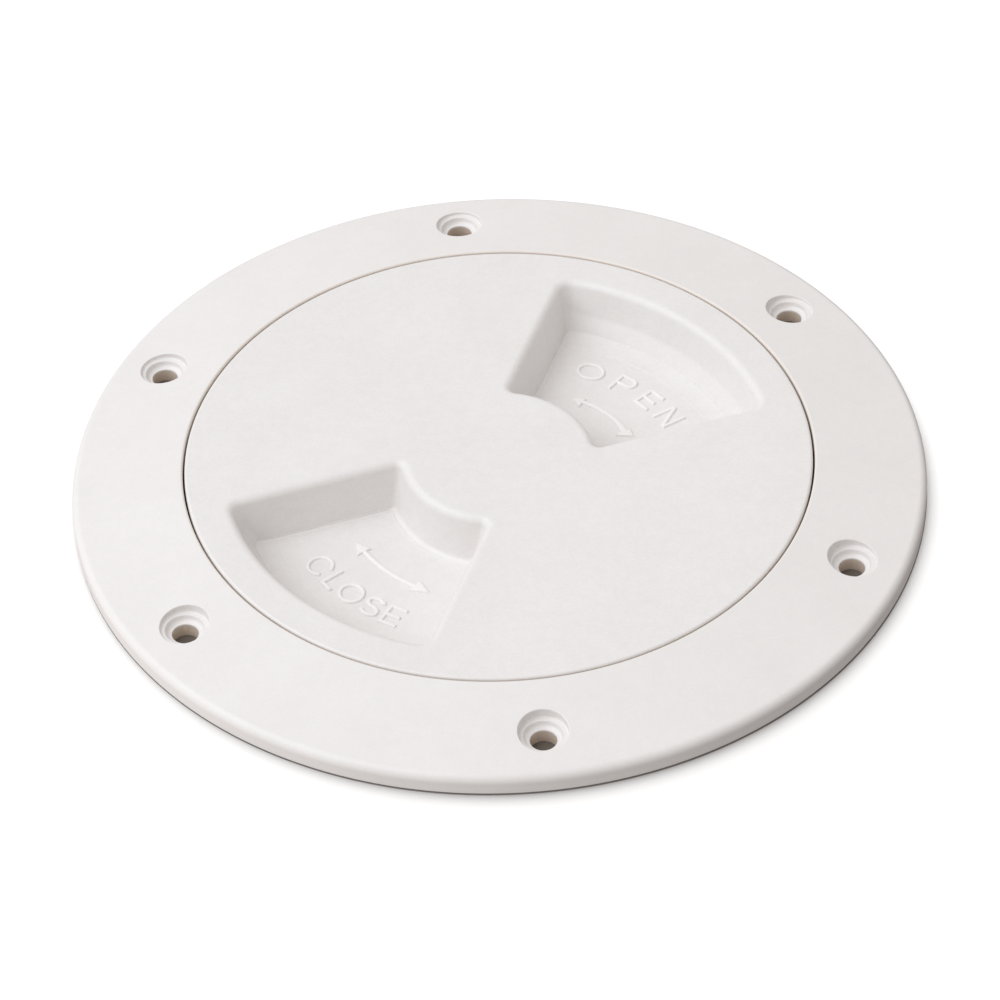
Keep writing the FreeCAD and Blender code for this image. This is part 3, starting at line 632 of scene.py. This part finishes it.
def sector_loop(r_out, z_out, r_in, z_in, off, z_side, c_out, c_in, turn, foot=None):
    """A closed loop round a pocket or tub at one stage of its wall.

    off and z_side are functions: off of the height, z_side of the place along the side, from 0
    at the outer corner to 1 at the inner one. foot, if given, sets every height."""
    z_a, z_b = z_side(0.0), z_side(1.0)
    far, ca = outer_corner(r_out, off(z_a), c_out)
    near, cb = inner_corner(r_in, off(z_b), c_in)
    t_a, t_b = math.atan2(ca[1], ca[0]), math.atan2(cb[1], cb[0])
    square = SIDE + math.pi / 2
    half = []
    for i in range(N_CORNER):
        u = i / N_CORNER
        t = mix(t_a, square, u)
        half.append((ca[0] + c_out * math.cos(t), ca[1] + c_out * math.sin(t), mix(z_out, z_a, u)))
    for i in range(N_SIDE):
        u = i / N_SIDE
        z = z_side(u)
        s, o = mix(far, near, u), off(z) + 0.08 * u * (1 - u)
        half.append((s * ALONG[0] + o * OUT[0], s * ALONG[1] + o * OUT[1], z))
    for i in range(N_CORNER + 1):
        u = i / N_CORNER
        t = mix(square, t_b + math.pi, u)
        half.append((cb[0] + c_in * math.cos(t), cb[1] + c_in * math.sin(t), mix(z_b, z_in, u)))
    inner = [(r_in * math.cos(mix(t_b, -t_b, i / N_INNER)),
              r_in * math.sin(mix(t_b, -t_b, i / N_INNER)), z_in) for i in range(1, N_INNER)]
    outer = [(r_out * math.cos(mix(-t_a, t_a, i / N_ARC)),
              r_out * math.sin(mix(-t_a, t_a, i / N_ARC)), z_out) for i in range(1, N_ARC)]
    loop = half + inner + [(x, -y, z) for x, y, z in half[::-1]] + outer
    if foot is not None:
        loop = [(x, y, foot(x, y)) for x, y, _ in loop]
    c, s = math.cos(math.radians(turn)), math.sin(math.radians(turn))
    return [(x * c - y * s, x * s + y * c, z) for x, y, z in loop]


def pocket_floor(x, y):
    """The flat floor, and the band that climbs to the foot of the outer wall."""
    return FLOOR + 0.6 * max(0.0, math.hypot(x, y) - 55.95) / 4.65


PANEL = 0.09


def pocket_panel(x, y):
    return pocket_floor(x, y) - PANEL


def pocket_loops(turn):
    rim = 2.2
    slopes = [math.atan(0.3), math.radians(11.3), math.atan(2.4 / 12.35)]
    turns = [math.pi / 2 - s for s in slopes]
    reach = [rim * math.tan(t / 2) for t in turns]
    loops = []
    corner_out, corner_in = 3.3, 2.0
    ease = sector_loop(65.5 + reach[0] + 0.15, CROWN, 22.8 - reach[2] - 0.15, CROWN,
                       lambda z: 5.5 + reach[1] + 0.15, lambda u: CROWN,
                       corner_out + reach[0] + 0.15, corner_in + reach[2] + 0.15, turn)
    steps = 13
    for k in range(steps + 1):
        t = [a * k / steps for a in turns]
        s = [reach[i] - rim * math.sin(t[i]) for i in range(3)]
        z = [CROWN - rim * (1 - math.cos(t[i])) for i in range(3)]
        loops.append(sector_loop(65.5 + s[0], z[0], 22.8 - s[2], z[2],
                                 lambda h, o=5.5 + s[1]: o, lambda u, h=z[1]: h,
                                 corner_out + s[0], corner_in + s[2], turn))
    z_top = z

    # outer wall: steep, then past a soft knee flatter down to the band
    knee, foot = (63.1, 0.85), (60.6, -2.9)
    up = (0.3, 1.0)
    down = (foot[0] - knee[0], foot[1] - knee[1])
    lu, ld = math.hypot(*up), math.hypot(*down)
    ka = (knee[0] + up[0] / lu * 0.65, knee[1] + up[1] / lu * 0.65)
    kb = (knee[0] + down[0] / ld * 0.65, knee[1] + down[1] / ld * 0.65)

    def steep(z):
        return 63.1 + 0.3 * (z - 0.85)

    outer = [(steep(z_top[0]), z_top[0]), (steep(z_top[0] - 0.2), z_top[0] - 0.2)]
    for t in (0.4, 0.97):
        h = mix(z_top[0] - 0.2, ka[1], t)
        outer.append((steep(h), h))
    for i in range(6):
        t = i / 5
        outer.append(tuple((1 - t) ** 2 * ka[m] + 2 * t * (1 - t) * knee[m] + t * t * kb[m]
                           for m in (0, 1)))
    for t in (0.08, 0.93, 1.0):
        outer.append((mix(kb[0], foot[0], t), mix(kb[1], foot[1], t)))

    # inner wall: steep, running softly into the floor
    line = rounded([(22.8, CROWN, 0), (25.2, FLOOR, 1.35), (40.0, FLOOR, 0)], 10.0)
    arc = [p for p in line if p[1] < -2.3 and p[0] < 26.35]
    arc = arc[-9:]
    start = arc[0]

    def lean(z):
        return 22.8 + 2.4 * (CROWN - z) / 12.35

    inner = [(lean(z_top[2]), z_top[2]), (lean(z_top[2] - 0.2), z_top[2] - 0.2)]
    for t in (0.5, 0.96):
        h = mix(z_top[2] - 0.2, start[1], t)
        inner.append((lean(h), h))
    inner += arc
    assert len(inner) == len(outer) == 13, (len(inner), len(outer))

    def share(line, k):
        return (line[0][1] - line[k][1]) / (line[0][1] - line[-1][1])

    def off(z):
        return 5.5 + math.tan(math.radians(11.3)) * (z - CROWN)

    far = outer_corner(60.6, off(-2.95), 1.4)[0]
    near = inner_corner(inner[-1][0], off(FLOOR), 1.3)[0]
    for k in range(1, 13):
        ga, gb = share(outer, k), share(inner, k)

        def z_side(u, ga=ga, gb=gb):
            low = pocket_floor(mix(far, near, u), off(FLOOR))
            return mix(z_top[1], low, mix(ga, gb, u))

        depth = share(outer, k)
        loops.append(sector_loop(*outer[k], *inner[k], off, z_side,
                                 mix(corner_out - 0.4, 1.4, depth), mix(corner_in - 0.4, 1.3, depth),
                                 turn, pocket_floor if k == 12 else None))
    for by, rise in ((0.05, 0.0), (0.13, 0.07), (0.20, 0.08), (0.34, 0.0)):
        loops.append(sector_loop(60.6 - by, 0, inner[-1][0] + by, 0,
                                 lambda z, o=off(FLOOR) - by: o, lambda u: 0.0, 1.35, 1.25, turn,
                                 lambda x, y, r=rise: pocket_floor(x, y) + r))
    panel = []
    for by, height in ((-0.12, pocket_floor), (0.0, pocket_floor), (0.1, pocket_panel),
                       (0.22, pocket_panel)):
        panel.append(sector_loop(55.7 - by, 0, inner[-1][0] + 0.5 + by, 0,
                                 lambda z, o=off(FLOOR) - 1.05 - by: o, lambda u: 0.0,
                                 1.6 - by, 1.3 - by, turn, height))
    return ease, loops, panel


# Raised marks: outlines in a flat frame, outer edge and holes, then set on the floor.
HIGH, STROKE, FINE = 6.6, 1.1, 0.17


def arc(cx, cy, a, b, t0, t1):
    n = max(2, int(math.ceil(abs(math.radians(t1 - t0)) * max(a, b) / FINE)))
    return [(cx + a * math.cos(math.radians(mix(t0, t1, i / n))),
             cy + b * math.sin(math.radians(mix(t0, t1, i / n)))) for i in range(n + 1)]


def tidy(points):
    out = []
    for p in points:
        if not out or math.hypot(p[0] - out[-1][0], p[1] - out[-1][1]) > 1e-4:
            out.append(p)
    if math.hypot(out[0][0] - out[-1][0], out[0][1] - out[-1][1]) < 1e-4:
        out.pop()
    return out


def letter_o(a=3.45, b=3.3):
    return tidy(arc(0, 0, a, b, 0, 360)), [tidy(arc(0, 0, a - STROKE, b - STROKE, 0, 360))]


def letter_c(a=3.4, b=3.5):
    def cut(a, b):
        lo, hi = 0.0, 80.0
        for _ in range(40):
            t = (lo + hi) / 2
            over = b * math.sin(math.radians(t)) - (a * math.cos(math.radians(t)) - 0.5) * 3.55 / 5.5
            lo, hi = (lo, t) if over > 0 else (t, hi)
        return lo

    t, s = cut(a, b), cut(a - STROKE, b - STROKE)
    return tidy(arc(0, 0, a, b, t, 360 - t) + arc(0, 0, a - STROKE, b - STROKE, 360 - s, s)), []


def letter_l(w=4.0):
    x, y, s = w / 2, HIGH / 2, STROKE
    return [(-x, -y), (x, -y), (x, -y + s), (-x + s, -y + s), (-x + s, y), (-x, y)], []


def letter_e(w=4.9):
    x, y, s, m = w / 2, HIGH / 2, STROKE, STROKE / 2
    return [(-x, -y), (x, -y), (x, -y + s), (-x + s, -y + s), (-x + s, -m), (x - 0.4, -m),
            (x - 0.4, m), (-x + s, m), (-x + s, y - s), (x, y - s), (x, y), (-x, y)], []


def letter_n(w=5.5):
    x, y, s = w / 2, HIGH / 2, STROKE
    d = s * 1.25
    fall = 2 * y / (2 * x - d)
    return [(-x, -y), (-x + s, -y), (-x + s, y - fall * s), (x - d, -y), (x, -y), (x, y),
            (x - s, y), (x - s, -y + fall * s), (-x + d, y), (-x, y)], []


def letter_p(w=5.7):
    x, y, s, b = w / 2, HIGH / 2, STROKE, HIGH * 0.295
    cy, cx = y - b, x - b
    outer = [(-x, -y), (-x + s, -y), (-x + s, cy - b)] + arc(cx, cy, b, b, -90, 90) + [(-x, y)]
    hole = [(-x + s, cy + b - s)] + arc(cx, cy, b - s, b - s, 90, -90) + [(-x + s, cy - b + s)]
    return tidy(outer), [tidy(hole)]


def letter_s(w=5.2):
    a, b = w / 2 - STROKE / 2, (HIGH - STROKE) / 4
    path = tidy(arc(0, b, a, b, 22, 270) + arc(0, -b, a, b, 90, -160))
    left, right = [], []
    for i, (px, py) in enumerate(path):
        qa, qb = path[max(i - 1, 0)], path[min(i + 1, len(path) - 1)]
        dx, dy = qb[0] - qa[0], qb[1] - qa[1]
        n = math.hypot(dx, dy) * 2 / STROKE
        left.append((px - dy / n, py + dx / n))
        right.append((px + dy / n, py - dx / n))
    return tidy(left + right[::-1]), []


def signed_area(loop):
    return 0.5 * sum(p[0] * q[1] - q[0] * p[1] for p, q in zip(loop, loop[1:] + loop[:1]))


def settle(shape, move=lambda p: p):
    """The outer edge turned anticlockwise and the holes clockwise: material is on the left."""
    outer, holes = [move(p) for p in shape[0]], [[move(p) for p in h] for h in shape[1]]
    outer = outer if signed_area(outer) > 0 else outer[::-1]
    return [outer] + [h if signed_area(h) < 0 else h[::-1] for h in holes]


def on_circle(shape, angle, radius, outward):
    t = math.radians(angle - 90 if outward else angle + 90)
    a = math.radians(angle)
    c, s = math.cos(t), math.sin(t)
    return settle(shape, lambda p: (p[0] * c - p[1] * s + radius * math.cos(a),
                                    p[0] * s + p[1] * c + radius * math.sin(a)))


def spin(points):
    return [(r * math.cos(math.radians(t)), r * math.sin(math.radians(t))) for r, t in points]


def smooth(points):
    """A flowing line through (radius, angle) points."""
    pts = spin(points)
    pts = [(2 * pts[0][0] - pts[1][0], 2 * pts[0][1] - pts[1][1])] + pts \
        + [(2 * pts[-1][0] - pts[-2][0], 2 * pts[-1][1] - pts[-2][1])]
    out = []
    for a, b, c, d in zip(pts, pts[1:], pts[2:], pts[3:]):
        n = int(math.ceil(math.hypot(c[0] - b[0], c[1] - b[1]) / 0.25))
        for i in range(n):
            t = i / n
            out.append(tuple(0.5 * (2 * b[m] + (c[m] - a[m]) * t
                                    + (2 * a[m] - 5 * b[m] + 4 * c[m] - d[m]) * t * t
                                    + (3 * b[m] - a[m] - 3 * c[m] + d[m]) * t ** 3)
                             for m in (0, 1)))
    return out + [pts[-2]]


def arrow(first, second, inner, outer):
    tip_a, in_a, out_a = spin(first)
    tip_b, in_b, out_b = spin(second)
    band_out, band_in = smooth(outer), smooth(inner)[::-1]
    edge = [tip_a, out_a] + band_out + [out_b, tip_b, in_b] + band_in + [in_a]
    return settle((tidy(edge), []))


def open_marks():
    return [
        on_circle(letter_o(3.8, 3.15), 60.6, 48.3, True),
        on_circle(letter_p(), 49.15, 48.45, True),
        on_circle(letter_e(5.1), 39.3, 48.6, True),
        on_circle(letter_n(), 30.0, 48.6, True),
        arrow(((37.7, 27.7), (33.9, 32.4), (38.5, 32.3)), ((37.5, 60.4), (35.5, 55.0), (39.0, 55.0)),
              [(35.75, 32.9), (36.4, 35.6), (36.85, 39.2), (37.1, 44.0), (37.15, 49.4),
               (36.95, 55.0)],
              [(37.75, 32.4), (37.95, 35.6), (38.2, 39.2), (38.4, 44.0), (38.5, 49.4),
               (38.25, 55.0)])]


def close_marks():
    return [
        on_circle(letter_c(), 208.5, 48.9, False),
        on_circle(letter_l(), 215.85, 48.6, False),
        on_circle(letter_o(), 222.8, 48.6, False),
        on_circle(letter_s(), 230.9, 48.6, False),
        on_circle(letter_e(), 237.75, 48.6, False),
        arrow(((38.1, 204.6), (35.8, 210.8), (39.85, 210.9)),
              ((38.15, 243.3), (35.4, 236.4), (39.65, 236.0)),
              [(37.1, 210.8), (37.05, 217.0), (37.05, 223.0), (37.05, 229.5), (37.1, 236.2)],
              [(38.3, 210.8), (38.3, 217.0), (38.3, 223.0), (38.3, 229.5), (38.3, 236.2)])]


def inset(loop, by):
    """The loop moved into the material, to its left. Edges that shrink away are passed over.

    The result has one point for each point of the loop; some may fall together."""
    n = len(loop)
    heads = []
    for i in range(n):
        p, q = loop[i], loop[(i + 1) % n]
        length = math.hypot(q[0] - p[0], q[1] - p[1])
        d = ((q[0] - p[0]) / length, (q[1] - p[1]) / length)
        heads.append((p[0] - d[1] * by, p[1] + d[0] * by, d[0], d[1],
                      q[0] - d[1] * by, q[1] + d[0] * by))

    def meet(e, f):
        ax, ay, adx, ady, aex, aey = heads[e]
        bx, by_, bdx, bdy, _, _ = heads[f]
        cross = adx * bdy - ady * bdx
        if abs(cross) < 1e-3:
            return ((aex + bx) / 2, (aey + by_) / 2)
        t = ((bx - ax) * bdy - (by_ - ay) * bdx) / cross
        return (ax + adx * t, ay + ady * t)

    live = list(range(n))
    while len(live) > 3:
        worst, at = -1e-6, None
        for k, e in enumerate(live):
            p, q = meet(live[k - 1], e), meet(e, live[(k + 1) % len(live)])
            along = (q[0] - p[0]) * heads[e][2] + (q[1] - p[1]) * heads[e][3]
            if along < worst:
                worst, at = along, k
        if at is None:
            break
        live.pop(at)
    out = []
    for i in range(n):
        after = next((k for k, e in enumerate(live) if e >= i), 0)
        out.append(meet(live[after - 1], live[after]))
    return out


def raise_mark(skin, loops):
    """The upright sides of a raised mark, its rounded upper edge and its flat top."""
    rise = 0.40 + PANEL
    foot = [[(x, y, pocket_panel(x, y)) for x, y in loop] for loop in loops]
    tops = []
    for loop, low in zip(loops, foot):
        stages = [low]
        for by, share in ((0.07, 0.32), (0.14, 0.60), (0.21, 0.81), (0.28, 0.95), (0.36, 1.0)):
            z = FLOOR - PANEL + rise * share
            stages.append([(x, y, z) for x, y in inset(loop, by)])
        skin.strips(stages)
        tops.append(stages[-1])
    skin.fill(tops, lambda x, y: FLOOR - PANEL + rise)
    return foot


def cover_skin():
    skin = Skin()
    side = rounded([(70.0, CROWN, 0), (74.85, CROWN, 0.7), (74.85, 6.4, 0), (74.35, 5.9, 0),
                    (71.6, 5.9, 0), (71.6, 2.6, 0), (70.0, 1.0, 0)], 9.0, 0.12)
    side = side[1:]
    skin.lathe(side)
    threaded_wall(skin, 70.0, 71.5, -11.5, 1.0, -10.0)
    skin.lathe([(70.0, -11.5), (69.5, -12.0), (67.7, -12.0), (67.2, -11.5), (67.2, UNDER)])
    rims, ceilings, eases = [], [], []
    for turn, marks in ((AXIS, open_marks()), (AXIS + 180.0, close_marks())):
        ease, loops, panel = pocket_loops(turn)
        eases.append((plan(ease), True))
        rims.append(loops[0])
        skin.strips(loops)
        feet = []
        for mark in marks:
            feet += raise_mark(skin, mark)
        held = [(inset(plan(f), -0.09), True) for f in feet]
        crease = math.radians(28.3)
        t = math.radians(turn)
        line = [(55.95 * math.cos(mix(t - crease, t + crease, i / 56)),
                 55.95 * math.sin(mix(t - crease, t + crease, i / 56))) for i in range(57)]
        skin.fill([loops[-1], panel[1]], pocket_floor, [(line, False), (plan(panel[0]), True)])
        skin.strip(panel[1], panel[2])
        held.append((plan(panel[3]), True))
        skin.fill([panel[2]] + feet, pocket_panel, held)

        # the tub that hangs under the cover round the pocket
        def off(z):
            return 7.02 - math.tan(math.radians(11.3)) * (5.95 - z)

        tub = []
        for z_out, z_in in ((UNDER, UNDER), (3.2, 2.6), (0.85, 0.0), (-2.2, -2.8), (-5.0, -5.6)):
            r_out = 65.2 + (0.3 * (z_out - 0.85) if z_out > 0.85 else 2.5 / 5.85 * (z_out - 0.85))
            r_in = 21.26 + 1.84 * (5.95 - z_in) / 11.55
            last = z_in < -5.5
            tub.append(sector_loop(r_out, z_out, r_in, z_in, off, lambda u, z=z_in: z, 5.1, 3.9,
                                   turn, tub_floor if last else None))
        skin.strips(tub)
        skin.fill([tub[-1]], tub_floor)
        ceilings.append(tub[0])
    skin.fill([ring(*side[0])] + rims, lambda x, y: CROWN, eases)
    skin.fill([ring(67.2, UNDER)] + ceilings, lambda x, y: UNDER)
    return skin


def tub_floor(x, y):
    return -5.6 + 0.6 * max(0.0, math.hypot(x, y) - 55.8) / 6.9


for name, body, skin, mat, slot in (
        ("deck_ring", "frame", ring_skin(), ring_mat, "ring_plastic"),
        ("screw_cover", "cover", cover_skin(), cover_mat, "cover_plastic")):
    piece = skin.build(name + "_skin")
    piece.data.materials.append(mat)
    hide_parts(name)
    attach(piece, body)

# ---------------------------------------------------------------------------------------
# Stage: a pale deck with the round cut-out that the collar hangs in
# ---------------------------------------------------------------------------------------
FLOOR_R, WELL_R, WELL_DEPTH, SHADE_R, SEGMENTS = 6.0, 0.084, 0.040, 0.1008, 256


def stage_piece(name, section, colour, closed, centre=(0.0, 0.0)):
    """A round surface of the stage from (radius, height) points, in metres."""
    verts, faces = [], []
    for radius, z in section:
        for i in range(SEGMENTS):
            a = 2 * math.pi * i / SEGMENTS
            verts.append((centre[0] + radius * math.cos(a), centre[1] + radius * math.sin(a), z))
    for row in range(len(section) - 1):
        for i in range(SEGMENTS):
            j = (i + 1) % SEGMENTS
            a, b = row * SEGMENTS, (row + 1) * SEGMENTS
            faces.append((a + i, a + j, b + j, b + i))
    if closed:
        faces.append(tuple((len(section) - 1) * SEGMENTS + i for i in range(SEGMENTS)))
    mesh = bpy.data.meshes.new(name)
    mesh.from_pydata(verts, [], faces)
    mesh.update()
    obj = bpy.data.objects.new(name, mesh)
    scene.collection.objects.link(obj)
    mat, tree, out = new_material(name)
    diffuse = tree.nodes.new("ShaderNodeBsdfDiffuse")
    diffuse.inputs["Color"].default_value = (*colour, 1.0)
    tree.links.new(diffuse.outputs["BSDF"], out.inputs["Surface"])
    mesh.materials.append(mat)
    return obj


deck = stage_piece("stage_deck", [(FLOOR_R, -0.00002), (SHADE_R, -0.00002)], (DECK_TONE,) * 3, False)
deck.visible_diffuse = False
deck.visible_glossy = False
deck.visible_shadow = False
# painted shade: a dark brown disc on the deck under the flange, seen through the screw holes; it also
# stops light coming up from below
stage_piece("stage_shade_disc", [(SHADE_R, -0.00004), (WELL_R, -0.00004)], (0.17, 0.15, 0.13),
            False)
# painted shade: the well is near black, and stops light coming up from below
stage_piece("stage_well", [(WELL_R, -0.00005), (WELL_R, -WELL_DEPTH)], (0.02, 0.02, 0.02), True)
# painted contact shadow: a dark ring on the deck under the flange's edge, showing a little past it on
# the near right side
stage_piece("stage_contact_shadow", [(0.10200, -0.00001), (0.1012, -0.00001)], (0.24, 0.22, 0.21), False,
            (0.0001, -0.000173))

# ---------------------------------------------------------------------------------------
# Light: a broad soft key from the left for the part, an even sky, and a wash from behind for the
# deck. From under the horizon comes the light that a white sweep gives back, bright on the left
# and dim on the right.
# ---------------------------------------------------------------------------------------
world = bpy.data.worlds.new("soft_sky")
world.use_nodes = True
scene.world = world
tree = world.node_tree
background = tree.nodes["Background"]
background.inputs["Strength"].default_value = 1.0


def reckon(operation, a, b):
    node = tree.nodes.new("ShaderNodeMath")
    node.operation = operation
    for socket, value in zip(node.inputs, (a, b)):
        if isinstance(value, (int, float)):
            socket.default_value = value
        else:
            tree.links.new(value, socket)
    return node.outputs[0]


parts = tree.nodes.new("ShaderNodeSeparateXYZ")
tree.links.new(tree.nodes.new("ShaderNodeTexCoord").outputs["Generated"], parts.inputs[0])
east, north, zenith = parts.outputs
turn = math.radians(BOUNCE_FROM)
lobe = reckon("ADD", reckon("MULTIPLY", east, BOUNCE_LOBE * math.cos(turn)),
              reckon("MULTIPLY", north, BOUNCE_LOBE * math.sin(turn)))
below = reckon("MAXIMUM", reckon("ADD", lobe, BOUNCE), BOUNCE_LEAST)
blend = span(tree, zenith, -0.01, 0.01, 0.0, 1.0)
lean = math.radians(SKY_FROM)
above = reckon("ADD", reckon("MULTIPLY", east, SKY_LEAN * math.cos(lean)),
               reckon("MULTIPLY", north, SKY_LEAN * math.sin(lean)))
above = reckon("MULTIPLY", blend, reckon("ADD", above, SKY))
below = reckon("MULTIPLY", below, reckon("SUBTRACT", 1.0, blend))
tint = tree.nodes.new("ShaderNodeCombineXYZ")
for socket, high, low in zip(tint.inputs, SKY_TINT, BOUNCE_TINT):
    tree.links.new(reckon("ADD", reckon("MULTIPLY", above, high),
                          reckon("MULTIPLY", below, low)), socket)
tree.links.new(tint.outputs[0], background.inputs["Color"])


def soft_box(name, azimuth, elevation, level, angle_deg, distance, colour):
    """A round soft light on one side. level is its share of the light on a flat surface."""
    a, e, half = math.radians(azimuth), math.radians(elevation), math.radians(angle_deg / 2)
    direction = Vector((math.cos(e) * math.cos(a), math.cos(e) * math.sin(a), math.sin(e)))
    radius = distance * math.tan(half)
    data = bpy.data.lights.new(name, "AREA")
    data.shape = "DISK"
    data.size = 2 * radius
    radiance = level / (math.sin(e) * math.sin(half) ** 2)
    data.energy = radiance * math.pi * math.pi * radius ** 2
    data.color = colour
    obj = bpy.data.objects.new(name, data)
    obj.location = direction * distance
    obj.rotation_euler = direction.to_track_quat("Z", "Y").to_euler()
    scene.collection.objects.link(obj)
    return obj


def lights_only(lamp, state):
    """The deck alone gets this light (INCLUDE), or everything but the deck (EXCLUDE)."""
    group = bpy.data.collections.new(lamp.name + "_receivers")
    group.objects.link(deck)
    group.collection_objects[0].light_linking.link_state = state
    lamp.light_linking.receiver_collection = group


key = soft_box("key", KEY_AZ, KEY_EL, KEY_LEVEL, KEY_ANGLE, KEY_FAR, KEY_TINT)
lights_only(key, "EXCLUDE")
wash = soft_box("wash", WASH_AZ, WASH_EL, WASH_LEVEL, WASH_ANGLE, WASH_FAR, (1.0, 1.0, 1.0))
lights_only(wash, "INCLUDE")

scene.view_settings.view_transform = "Standard"
scene.view_settings.look = "None"
scene.view_settings.exposure = 0.0
scene.view_settings.gamma = 1.0

# ---------------------------------------------------------------------------------------
# Camera at the photograph's angle: long lens, 43 degrees above the horizon
# ---------------------------------------------------------------------------------------
FOCAL_PX, DISTANCE, ELEVATION, ROLL, AIM_X, AIM_Y = 4059.88, 0.97363, 0.7495, 0.0387, -0.0819, -19.1208


def turned(vector, axis, angle):
    return Matrix.Rotation(angle, 3, axis) @ vector


ce, se = math.cos(ELEVATION), math.sin(ELEVATION)
forward, right, up = Vector((0, ce, -se)), Vector((1, 0, 0)), Vector((0, se, ce))
place = -forward * DISTANCE
pan, tilt = math.atan2(AIM_X, FOCAL_PX), math.atan2(AIM_Y, FOCAL_PX)
forward, right = turned(forward, up, pan), turned(right, up, pan)
forward, up = turned(forward, right, tilt), turned(up, right, tilt)
right, up = turned(right, forward, ROLL), turned(up, forward, ROLL)

camera_data = bpy.data.cameras.new("photo_camera")
camera_data.sensor_width = 36.0
camera_data.sensor_fit = "HORIZONTAL"
camera_data.lens = 36.0 * FOCAL_PX / 1000.0
camera_data.clip_start = 0.01
camera_data.clip_end = 50.0
camera = bpy.data.objects.new("photo_camera", camera_data)
scene.collection.objects.link(camera)
basis = Matrix((right, up, -forward)).transposed().to_4x4()
camera.matrix_world = Matrix.Translation(place) @ basis
scene.camera = camera
